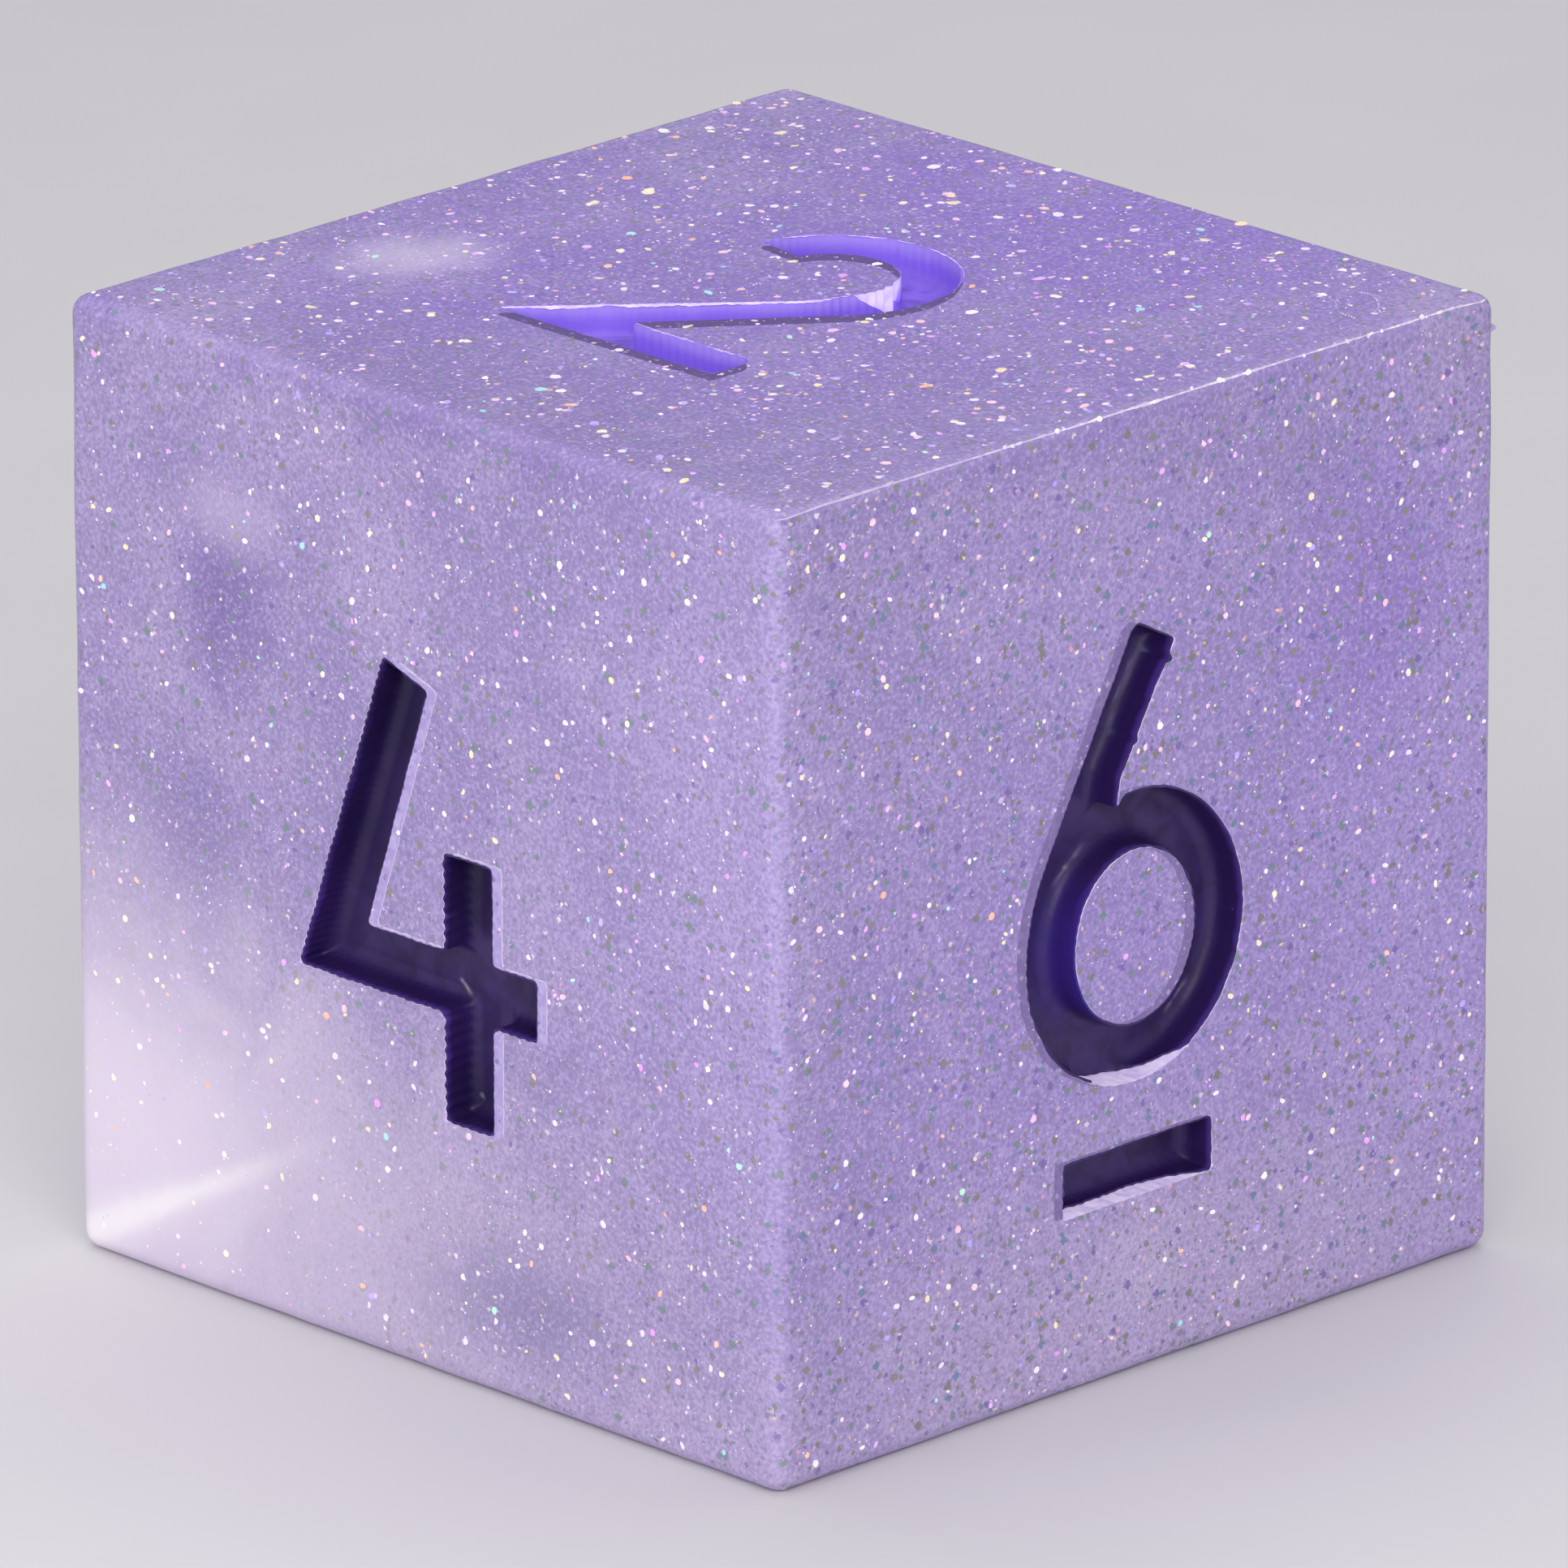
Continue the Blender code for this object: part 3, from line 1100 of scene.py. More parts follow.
def mitred(loop: Loop, inset: float) -> Loop:
    """The loop moved to its left by an inset: mitred at its left turns, kept close at its right turns.

    Args:
        loop: The points of the loop.
        inset: How far each side moves to its left.

    Returns:
        The moved loop.
    """
    moved = []
    for i, point in enumerate(loop):
        here, before, after = Vector(point), Vector(loop[i - 1]), Vector(loop[(i + 1) % len(loop)])
        into = (here - before).normalized().orthogonal()
        out_of = (after - here).normalized().orthogonal()
        bisector = (into + out_of).normalized()
        least = SHARPEST_MITRE if into.cross(out_of) > 0 else HOLLOW_MITRE
        moved.append(tuple(here + bisector * inset / max(least, bisector.dot(into))))
    return moved


def seam_crispness(x: float, half: float) -> float:
    """How crisp the seam's edge is at x: 1 along its length, falling to 0 before each corner."""
    return min(1.0, max(0.0, (half - SEAM_END_GAP - abs(x)) / SEAM_FADE))


def stacked(levels: list[tuple[list[np.ndarray], float | list[np.ndarray]]]) -> bmesh.types.BMesh:
    """A closed skin through matching rings, capped at its first and last level.

    Args:
        levels: each level's rings, with one height or a height for each point.

    Returns:
        The mesh, in millimetres on the face's drawing board.
    """
    builder = bmesh.new()
    rows = []
    for rings, heights in levels:
        row = []
        for k, ring in enumerate(rings):
            z = heights[k] if isinstance(heights, list) else np.full(len(ring), heights)
            row.append([builder.verts.new((*point, h)) for point, h in zip(ring, z)])
        rows.append(row)
    for lower, upper in zip(rows, rows[1:]):
        for low, high in zip(lower, upper):
            for i in range(len(low)):
                builder.faces.new((low[i - 1], low[i], high[i], high[i - 1]))
    for row in (rows[0], rows[-1]):
        rim = [builder.edges.get((ring[i - 1], ring[i])) for ring in row for i in range(len(ring))]
        bmesh.ops.triangle_fill(builder, edges=rim, use_beauty=True, normal=(0, 0, 1))
    bmesh.ops.recalc_face_normals(builder, faces=builder.faces)
    return builder


# ---------------------------------------------------------------- cast body


@dataclass
class CastBody:
    """The resin body: a rounded cube with engraved recesses, chamfered lips and painted bands that stand in
    for the walls seen through it.
    """

    engravings: list[Engraving]
    edge_radius: float = 0.34
    seam_radius: float = 0.10
    radius_waver: float = 0.16
    waver_pitch: float = 1.3
    face_spacing: float = 0.60
    edge_lines: tuple[float, ...] = (1.0, 0.84, 0.69, 0.56, 0.44, 0.33, 0.23, 0.14, 0.06, 0.0)
    edge_reach: float = 0.42
    seam_blend: float = 0.5
    seam_waver: float = 0.5
    seam_waver_pitch: float = 0.35
    band_steps: float = 0.8
    lip_width: float = 0.012
    lip_depth: float = 0.012
    weld: float = 2e-5
    drawing_tolerance: float = 1e-7
    crease: float = 32.0

    def build(self) -> bpy.types.Object:
        """The body with its recesses and its finishes.

        Returns:
            The body.
        """
        middle, half = die_box()
        edge = [half.x - self.edge_reach * share for share in self.edge_lines]
        count = round(2 * edge[0] / self.face_spacing)
        flat = [-edge[0] + 2 * edge[0] * i / count for i in range(count + 1)]
        finishes = [ResinFinish(), BareWallFinish()]
        slots = {}
        for engraving in self.engravings:
            for band in engraving.bands:
                if band.look not in slots:
                    slots[band.look] = len(finishes)
                    finishes.append(band.look.value)
        builder = bmesh.new()
        for face in Face:
            self._edges(builder, face.value, half.x, edge, flat)
            self._flat(builder, face.value, half.x, flat, slots)
        bmesh.ops.remove_doubles(builder, verts=builder.verts, dist=self.weld)
        body = sealed_mesh("cast_resin_body", builder, Matrix.Translation(middle))
        for finish in finishes:
            body.data.materials.append(finish.build())
        smooth(body, self.crease)
        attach(body, "root")
        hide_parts(BODY_NODE)
        return body

    def _edges(
        self, builder: bmesh.types.BMesh, board: FaceFrame, half: float, edge: Line, flat: Line
    ) -> None:
        """Adds the rounded border of one face.

        Args:
            builder: The mesh being drawn.
            board: The face.
            half: Half the die's edge.
            edge: Where the border's lines lie, across the edge.
            flat: Where the lines lie along the flat part.
        """
        lines = [-e for e in reversed(edge[1:])] + flat + edge[1:]
        border = len(edge) - 1
        inner = range(border, len(lines) - 1 - border)
        for j in range(len(lines) - 1):
            for i in range(len(lines) - 1):
                if i in inner and j in inner:
                    continue
                corners = []
                for x, y in ((i, j), (i + 1, j), (i + 1, j + 1), (i, j + 1)):
                    point = board.right * lines[x] + board.head * lines[y] + board.outwards * half
                    corners.append(builder.verts.new(self._rounded(point, half)))
                builder.faces.new(corners)

    def _rounded(self, point: Vector, half: float) -> Vector:
        """Where a point of the sharp cube goes when the edges are rounded.

        Args:
            point: A point of the sharp cube.
            half: Half the die's edge.

        Returns:
            The rounded point.
        """
        radius = self.edge_radius * (1 + self.radius_waver * ripple(point, self.waver_pitch, 3.0))
        core = Vector(max(radius - half, min(half - radius, c)) for c in point)
        soft = core + (point - core).normalized() * radius
        to_seam = math.hypot(point.y + half, point.z - half)
        beside = 1 - min(1.0, max(0.0, (to_seam - self.edge_reach) / self.seam_blend))
        nearness = min(beside, seam_crispness(point.x, half))
        if nearness == 0:
            return soft
        seam = self.seam_radius * (1 + self.seam_waver * ripple(point, self.seam_waver_pitch, 9.0))
        share = nearness * nearness * (3 - 2 * nearness)
        return soft.lerp(self._crisp(point, half, radius, seam), share)

    @staticmethod
    def _crisp(point: Vector, half: float, radius: float, seam: float) -> Vector:
        """Where the point goes if only the upright edges are soft and the level ones nearly sharp.

        Args:
            point: A point of the sharp cube.
            half: Half the die's edge.
            radius: The radius of the upright edges.
            seam: The radius of the level edges.

        Returns:
            The point on the crisp body.
        """
        base = Vector((*(max(radius - half, min(half - radius, c)) for c in point.xy), 0.0))
        outward = Vector((*point.xy, 0.0)) - base
        if outward.length == 0:
            return point.copy()
        outward *= max(abs(outward.x), abs(outward.y)) / outward.length
        inside, below = radius - outward.length, half - abs(point.z)
        if inside < seam and below < seam:
            scale = seam / math.hypot(seam - inside, seam - below)
            inside, below = seam - (seam - inside) * scale, seam - (seam - below) * scale
        place = base + outward.normalized() * (radius - inside)
        place.z = math.copysign(half - below, point.z)
        return place

    def _flat(
        self, builder: bmesh.types.BMesh, board: FaceFrame, half: float, flat: Line,
        slots: dict[PaintedSeeThroughBand, int],
    ) -> None:
        """Adds the flat part of one face, with its recesses and the painted bands beside them.

        Args:
            builder: The mesh being drawn.
            board: The face.
            half: Half the die's edge.
            flat: Where the grid's lines lie.
            slots: The material slot of each look of band.
        """
        low, high = flat[0], flat[-1]
        square = [(x, low) for x in flat[:-1]] + [(high, y) for y in flat[:-1]]
        square += [(x, high) for x in flat[:0:-1]] + [(low, y) for y in flat[:0:-1]]
        outlines, roles = [square], [None]
        for number, engraving in enumerate(self.engravings):
            if engraving.face != board:
                continue
            for ring in engraving.ring(-self.lip_width, 1.0):
                outlines.append(ring)
                roles.append((number, -1))
            for k, band in enumerate(engraving.bands):
                for ring in engraving.ring(band.inset, self.band_steps, band.shift):
                    outlines.append(ring)
                    roles.append((number, k))
        outlines = [turned_left(outline) for outline in outlines]
        points = [Vector(point) for outline in outlines for point in outline]
        starts = np.cumsum([0] + [len(outline) for outline in outlines])
        indices = [list(range(start, end)) for start, end in zip(starts, starts[1:])]
        only_inside = 1
        found = delaunay_2d_cdt(points, [], indices, only_inside, self.drawing_tolerance, True)
        spots, triangles, owners = found[0], found[2], found[5]
        kept = []
        for triangle, owner in zip(triangles, owners):
            within = [roles[outline] for outline in owner if roles[outline]]
            if sum(k == -1 for _, k in within) % 2:
                continue
            bands = [role for role in set(within) if within.count(role) % 2]
            look = self.engravings[max(bands)[0]].bands[max(bands)[1]].look if bands else None
            kept.append((triangle, slots.get(look, 0)))
        base = {i: self._vert(builder, board, half, spot, 0.0) for i, spot in enumerate(spots)}
        for triangle, slot in kept:
            builder.faces.new([base[i] for i in triangle]).material_index = slot
        self._recess(builder, board, half, self._rims([triangle for triangle, _ in kept], spots, high))
        loose = [vert for vert in base.values() if not vert.link_faces]
        bmesh.ops.delete(builder, geom=loose, context="VERTS")

    @staticmethod
    def _vert(
        builder: bmesh.types.BMesh, board: FaceFrame, half: float, spot: Point, z: float
    ) -> bmesh.types.BMVert:
        """A vertex from drawing coordinates."""
        return builder.verts.new(board.right * spot[0] + board.head * spot[1] + board.outwards * (half + z))

    @staticmethod
    def _rims(triangles: list[list[int]], spots: list[Vector], limit: float) -> list[Loop]:
        """The rims of the holes among the triangles, with the hole on each rim's left.

        Args:
            triangles: The triangles of one face.
            spots: Their corners.
            limit: How far out a rim can lie; the face's own border is further out.

        Returns:
            The rims.
        """
        sides = {(t[i - 1], t[i]) for t in triangles for i in range(3)}
        following = {}
        for a, b in sides:
            if (b, a) not in sides and max(abs(c) for c in (*spots[a], *spots[b])) < limit - SAME_POINT:
                following[b] = a
        rims = []
        while following:
            here = min(following)
            rim = []
            while here in following:
                rim.append(tuple(spots[here]))
                here = following.pop(here)
            rims.append(rim)
        return rims

    def _recess(
        self, builder: bmesh.types.BMesh, board: FaceFrame, half: float, rims: list[Loop]
    ) -> None:
        """Adds the lips, walls and floors under the rims.

        Args:
            builder: The mesh being drawn.
            board: The face.
            half: Half the die's edge.
            rims: The rims of the holes in the face.
        """
        depth = self.engravings[0].depth
        floor = []
        for rim in rims:
            inner = mitred(rim, self.lip_width)
            levels = [(rim, 0.0), (inner, -self.lip_depth), (inner, -depth)]
            rows = [[self._vert(builder, board, half, spot, z) for spot in loop] for loop, z in levels]
            for slot, (upper, lower) in enumerate(zip(rows, rows[1:])):
                for i in range(len(rim)):
                    side = builder.faces.new((upper[i - 1], upper[i], lower[i], lower[i - 1]))
                    side.material_index = slot
            floor += [builder.edges.get((rows[-1][i - 1], rows[-1][i])) for i in range(len(rim))]
        if floor:
            filled = bmesh.ops.triangle_fill(builder, edges=floor, use_beauty=True, normal=board.outwards)
            for piece in filled["geom"]:
                if isinstance(piece, bmesh.types.BMFace):
                    piece.material_index = 1
                    if piece.normal.dot(board.outwards) < 0:
                        piece.normal_flip()


# ---------------------------------------------------------------- paint


@dataclass
class NumeralPaint:
    """The paint in one recess: a pool on the floor that climbs the walls to a ragged rim."""

    engraving: Engraving
    finish: PaintFinish
    clearance: float = 0.012
    film: float = 0.030
    fillet: float = 0.26
    fillet_steps: int = 6
    film_stepped: float = 0.9
    fillet_stepped: float = 0.8
    pool_depth: float = 0.64
    rim_depth: float = 0.016
    rim_waver: float = 0.022
    bare_waver: float = 1.6
    highest_rim: float = 0.006
    least_pool: float = 0.015
    film_drop: float = 0.012
    fillet_drop: float = 0.014
    fillet_drop_step: float = 0.002
    pool_drop: float = 0.03
    crease: float = 38.0

    def build(self) -> bpy.types.Object:
        """The paint as one closed skin.

        Returns:
            The paint.
        """
        underside = self.engraving.depth - self.clearance
        outer = self.engraving.ring(self.clearance, 1.0)
        rims = [self._rim(ring) for ring in outer]
        levels = [
            (outer, -underside),
            (outer, [-rim for rim in rims]),
            (
                self.engraving.ring(self.clearance + self.film, self.film_stepped),
                [-(rim + self.film_drop) for rim in rims],
            ),
        ]
        for step in range(self.fillet_steps + 1):
            turn = math.radians(90) * step / self.fillet_steps
            inset = self.clearance + self.film + self.fillet * (1 - math.cos(turn))
            depth = self.pool_depth - self.fillet * (1 - math.sin(turn))
            rings = self.engraving.ring(inset, self.fillet_stepped * (1 - step / self.fillet_steps))
            drop = self.fillet_drop + self.fillet_drop_step * step
            levels.append((rings, [-np.maximum(depth, rim + drop) for rim in rims]))
        pool = self.engraving.ring(inset + self.film, 0.0)
        levels.append((pool, [-np.maximum(self.pool_depth, rim + self.pool_drop) for rim in rims]))
        piece = sealed_mesh(self.engraving.name + "_fill", stacked(levels), self.engraving.face.matrix())
        piece.data.materials.append(self.finish.build())
        smooth(piece, self.crease)
        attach(piece, "root")
        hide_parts(self.engraving.node)
        return piece

    def _rim(self, ring: np.ndarray) -> np.ndarray:
        """How deep the paint's upper rim lies at each point of the wall.

        Args:
            ring: Points along the top of the wall.

        Returns:
            A depth for each point.
        """
        rim = np.full(len(ring), self.rim_depth)
        for i, (x, y) in enumerate(ring):
            place = Vector((x, y, 0))
            ragged = ripple(place, 0.45, 5.0) + 0.5 * ripple(place, 0.12, 8.0)
            bare = sum(s.share(x + 0.04 * ripple(place, 0.15, 2.0), y) for s in self.engraving.bare)
            waver = self.rim_waver * (1.0 + self.bare_waver * min(1.0, 8.0 * bare))
            rim[i] += waver * ragged + (self.pool_depth - self.rim_depth) * bare
        return np.clip(rim, self.highest_rim, self.pool_depth - self.least_pool)


# ---------------------------------------------------------------- glitter


class Glitter(Enum):
    """The colours of glitter: finish and share of the flakes."""

    SILVER = (FlakeFinish("silver", (0.95, 0.92, 0.98), (0.84, 0.76, 0.95)), 0.36)
    GOLD = (FlakeFinish("gold", (0.98, 0.80, 0.50), (0.97, 0.90, 0.74)), 0.19)
    PINK = (FlakeFinish("pink", (0.97, 0.56, 0.72), (0.96, 0.72, 0.80)), 0.15)
    MAGENTA = (FlakeFinish("magenta", (0.82, 0.36, 0.93), (0.88, 0.56, 0.97)), 0.12)
    COPPER = (FlakeFinish("copper", (0.97, 0.50, 0.36), (0.95, 0.62, 0.45)), 0.07)
    VIOLET = (FlakeFinish("violet", (0.42, 0.36, 0.97), (0.58, 0.48, 0.98)), 0.08)
    AQUA = (FlakeFinish("aqua", (0.36, 0.74, 0.84), (0.55, 0.90, 0.68)), 0.03)


@dataclass
class GlitterFlakes:
    """Hexagonal flakes that lie in the resin's skin and catch the light."""

    engravings: list[Engraving]
    per_face: int = 1800
    top_share: float = 1.3
    top_size: float = 1.3
    reach: float = 7.72
    radius: tuple[float, float] = (0.014, 0.076)
    size_power: float = 0.27
    large: tuple[float, float] = (0.095, 0.135)
    large_share: float = 0.018
    hexagon_from: float = 0.038
    thickness: float = 0.016
    squash: tuple[float, float] = (0.5, 1.0)
    wall_margin: float = 0.03
    proud: tuple[float, float] = (0.001, 0.006)
    tilt_degrees: float = 6.0
    seed: int = 20

    def build(self) -> list[bpy.types.Object]:
        """One piece for each colour of glitter.

        Returns:
            The pieces.
        """
        rng = np.random.default_rng(self.seed)
        builders = {colour: bmesh.new() for colour in Glitter}
        colours = list(Glitter)
        shares = np.array([colour.value[1] for colour in colours])
        for face in Face:
            near = [engraving for engraving in self.engravings if engraving.face == face.value]
            matrix = face.value.matrix()
            on_top = face == Face.TWO
            for _ in range(round(self.per_face * (self.top_share if on_top else 1))):
                x, y = rng.uniform(-self.reach, self.reach, 2)
                colour = colours[rng.choice(len(colours), p=shares / shares.sum())]
                radius = self.radius[0] + (self.radius[1] - self.radius[0]) * rng.power(self.size_power)
                radius *= self.top_size if on_top else 1
                if on_top and rng.random() < self.large_share:
                    radius = rng.uniform(*self.large)
                seat = self._seat(rng, x, y)
                squash = rng.uniform(*self.squash)
                margin = radius + self.wall_margin
                if not any(engraving.inside(x, y, margin) for engraving in near):
                    self._flake(builders[colour], matrix @ seat, radius, squash)
        pieces = []
        for colour, builder in builders.items():
            piece = sealed_mesh(f"glitter_{colour.value[0].name}", builder)
            piece.data.materials.append(colour.value[0].build())
            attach(piece, "root")
            pieces.append(piece)
        return pieces

    def _seat(self, rng: np.random.Generator, x: float, y: float) -> Matrix:
        """Where one flake lies on its face, turned and tilted at random.

        Args:
            rng: The source of the random draws.
            x: How far right the flake lies.
            y: How far towards the head it lies.

        Returns:
            The flake's place on its face.
        """
        turn = Matrix.Rotation(rng.uniform(0, math.tau), 4, "Z")
        tilt = math.radians(rng.normal(0, self.tilt_degrees))
        way = rng.uniform(0, math.tau)
        lean = Matrix.Rotation(tilt, 4, (math.cos(way), math.sin(way), 0))
        return Matrix.Translation((x, y, rng.uniform(*self.proud))) @ lean @ turn

    def _flake(self, builder: bmesh.types.BMesh, seat: Matrix, radius: float, squash: float) -> None:
        """Adds one flake: a plate with its top at the seat, six-cornered unless it is tiny.

        Args:
            builder: The mesh being drawn.
            seat: The flake's place.
            radius: Half its length.
            squash: Its width as a share of its length.
        """
        count = 6 if radius > self.hexagon_from else 4
        angles = [math.tau * k / count for k in range(count)]
        rows = []
        for z in (0.0, -self.thickness):
            places = (Vector((radius * math.cos(a), radius * math.sin(a) * squash, z)) for a in angles)
            rows.append([builder.verts.new(seat @ place) for place in places])
        top, bottom = rows
        builder.faces.new(top)
        builder.faces.new(bottom[::-1])
        for i in range(count):
            builder.faces.new((top[i - 1], bottom[i - 1], bottom[i], top[i]))


# ---------------------------------------------------------------- marks of casting


@dataclass
class CapSeam:
    """The ragged fin of flash where the mould's cap met the body, its beads, and a burr beside it."""

    edge_radius: float = 0.34
    crisp_drop: float = 0.035
    soft_drop: float = 0.135
    reach: float = 7.90
    spacing: float = 0.030
    sink: float = 0.050
    width: tuple[float, float] = (0.050, 0.085)
    height: tuple[float, float] = (0.004, 0.045)
    tooth: float = 0.045
    wave_pitch: float = 0.9
    tooth_pitch: float = 0.11
    taper: float = 0.12
    beads: int = 17
    bead: tuple[float, float] = (0.022, 0.050)
    bead_span: float = 1.5
    bead_power: float = 1.6
    bead_lift: float = 0.02
    bead_scatter: float = 0.03
    burr_height: float = 7.42
    burr_radii: tuple[float, float] = (0.085, 0.016)
    burr_length: float = 0.20
    burr_stretch: Place = (1.6, 0.7, 1.0)
    burr_sides: int = 7
    burr_sink: float = 0.02
    crease: float = 40.0
    seed: int = 5

    def build(self) -> bpy.types.Object:
        """The fin with its beads, rooted in the top edge of the face with the six.

        Returns:
            The seam's flash.
        """
        middle, half = die_box()
        builder = bmesh.new()
        self._fin(builder, half.x)
        rng = np.random.default_rng(self.seed)
        for _ in range(self.beads):
            spot, lean = self._line(self.reach * (1 - self.bead_span * rng.power(self.bead_power)), half.x)
            spot += lean * self.bead_lift + Vector((0, 1, 0)) * rng.normal(0, self.bead_scatter)
            place = Matrix.Translation(spot)
            radius = rng.uniform(*self.bead)
            bmesh.ops.create_icosphere(builder, subdivisions=2, radius=radius, matrix=place)
        plain = set(builder.faces)
        self._burr(builder, half.x)
        for face in set(builder.faces) - plain:
            face.material_index = 1
        bmesh.ops.recalc_face_normals(builder, faces=builder.faces)
        piece = sealed_mesh("cap_seam_flash", builder, Matrix.Translation(middle))
        piece.data.materials.append(FlashFinish().build())
        burr = BandFinish("burr_resin", (0.42, 0.32, 0.64), (0.62, 0.53, 0.84))
        piece.data.materials.append(burr.build())
        smooth(piece, self.crease)
        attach(piece, "root")
        return piece

    def _line(self, x: float, half: float) -> tuple[Vector, Vector]:
        """The point of the rounded edge at x, and the way out of the resin there.

        Args:
            x: How far along the seam the point lies.
            half: Half the die's edge.

        Returns:
            The point, and the direction.
        """
        soft_from = half - self.edge_radius
        past = max(0.0, abs(x) - soft_from)
        y = -(soft_from + math.sqrt(self.edge_radius**2 - past**2))
        way = Vector((math.copysign(past, x), y + soft_from, 0)).normalized()
        lean = (way + Vector((0, 0, 1))).normalized()
        crisp = seam_crispness(x, half)
        crisp *= crisp * (3 - 2 * crisp)
        drop = self.soft_drop + (self.crisp_drop - self.soft_drop) * crisp
        return Vector((x, y, half)) - lean * drop, lean

    def _fin(self, builder: bmesh.types.BMesh, half: float) -> None:
        """Adds the fin: a ragged ridge whose root lies under the edge.

        Args:
            builder: The mesh being drawn.
            half: Half the die's edge.
        """
        count = round(2 * self.reach / self.spacing)
        rows = []
        for i in range(count + 1):
            x = -self.reach + 2 * self.reach * i / count
            spot, lean = self._line(x, half)
            across = lean.cross(Vector((1, 0, 0))).normalized()
            root = spot - lean * self.sink
            wave = 0.5 + 0.5 * ripple(root, self.wave_pitch, 6.0)
            teeth = max(0.0, ripple(root, self.tooth_pitch, 4.0)) ** 2 * self.tooth * 4
            end = min(1.0, (self.reach - abs(x)) / self.taper)
            rise = end * (self.height[0] + self.height[1] * wave + teeth)
            side = across * (self.width[0] + (self.width[1] - self.width[0]) * wave) / 2
            corners = (root + side, spot + lean * rise, root - side, root - lean * 0.01)
            rows.append([builder.verts.new(corner) for corner in corners])
        for before, after in zip(rows, rows[1:]):
            for k in range(4):
                builder.faces.new((before[k - 1], after[k - 1], after[k], before[k]))
        builder.faces.new(rows[0])
        builder.faces.new(rows[-1][::-1])

    def _burr(self, builder: bmesh.types.BMesh, half: float) -> None:
        """Adds a small thorn of resin to the upright edge beside the seam's end.

        Args:
            builder: The mesh being drawn.
            half: Half the die's edge.
        """
        way = Vector((1, -1, 0)).normalized()
        root = Vector((1, -1, 0)) * (half - self.edge_radius) + way * (self.edge_radius - self.burr_sink)
        root.z = self.burr_height
        turn = way.to_track_quat("Z", "X").to_matrix().to_4x4()
        place = Matrix.Translation(root) @ turn @ Matrix.Diagonal((*self.burr_stretch, 1.0))
        foot, tip = self.burr_radii
        bmesh.ops.create_cone(
            builder, cap_ends=True, segments=self.burr_sides, radius1=foot, radius2=tip,
            depth=self.burr_length, matrix=place,
        )


@dataclass
class BubbleMark:
    """A burst bubble in the top face: two broken arcs of tiny beads."""

    centre: Point = (5.96, -6.83)
    radii: Point = (0.34, 0.66)
    turn_degrees: float = -45.0
    bead: tuple[float, float] = (0.010, 0.024)
    count: int = 44
    gap_turn: float = 0.6
    gap_level: float = -0.55
    scatter: float = 0.035
    seed: int = 7

    def build(self) -> bpy.types.Object:
        """The beads, sunk halfway into the resin.

        Returns:
            The ring of beads.
        """
        middle, half = die_box()
        rng = np.random.default_rng(self.seed)
        builder = bmesh.new()
        for k in range(self.count):
            angle = math.tau * k / self.count
            if math.sin(2 * angle + self.gap_turn) < self.gap_level:
                continue
            spread = 1 + rng.normal(0, self.scatter)
            bead = Vector((self.radii[0] * math.cos(angle), self.radii[1] * math.sin(angle))) * spread
            bead.rotate(Matrix.Rotation(math.radians(self.turn_degrees), 2))
            place = Matrix.Translation((*(bead + Vector(self.centre)), half.z))
            radius = rng.uniform(*self.bead)
            bmesh.ops.create_icosphere(builder, subdivisions=1, radius=radius, matrix=place)
        piece = sealed_mesh("bubble_mark", builder, Matrix.Translation(middle))
        rim = BandFinish("bubble_rim", (0.80, 0.76, 0.88), (0.60, 0.55, 0.76))
        piece.data.materials.append(rim.build())
        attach(piece, "root")
        return piece


# ---------------------------------------------------------------- studio


@dataclass(frozen=True)
class Softbox:
    """A square soft light that looks at the die; its place is measured from the die's middle."""

    name: str
    place: Place
    size: float
    power: float
    colour: Colour

    def build(self) -> None:
        """Hangs the softbox and turns it to the die."""
        data = bpy.data.lights.new(self.name, "AREA")
        data.shape = "SQUARE"
        data.size = self.size * METRES_PER_MM
        data.energy = self.power
        data.color = self.colour
        light = bpy.data.objects.new(self.name, data)
        light.location = (die_box()[0] + Vector(self.place)) * METRES_PER_MM
        light.rotation_mode = "QUATERNION"
        light.rotation_quaternion = (-Vector(self.place)).to_track_quat("-Z", "Y")
        bpy.context.scene.collection.objects.link(light)


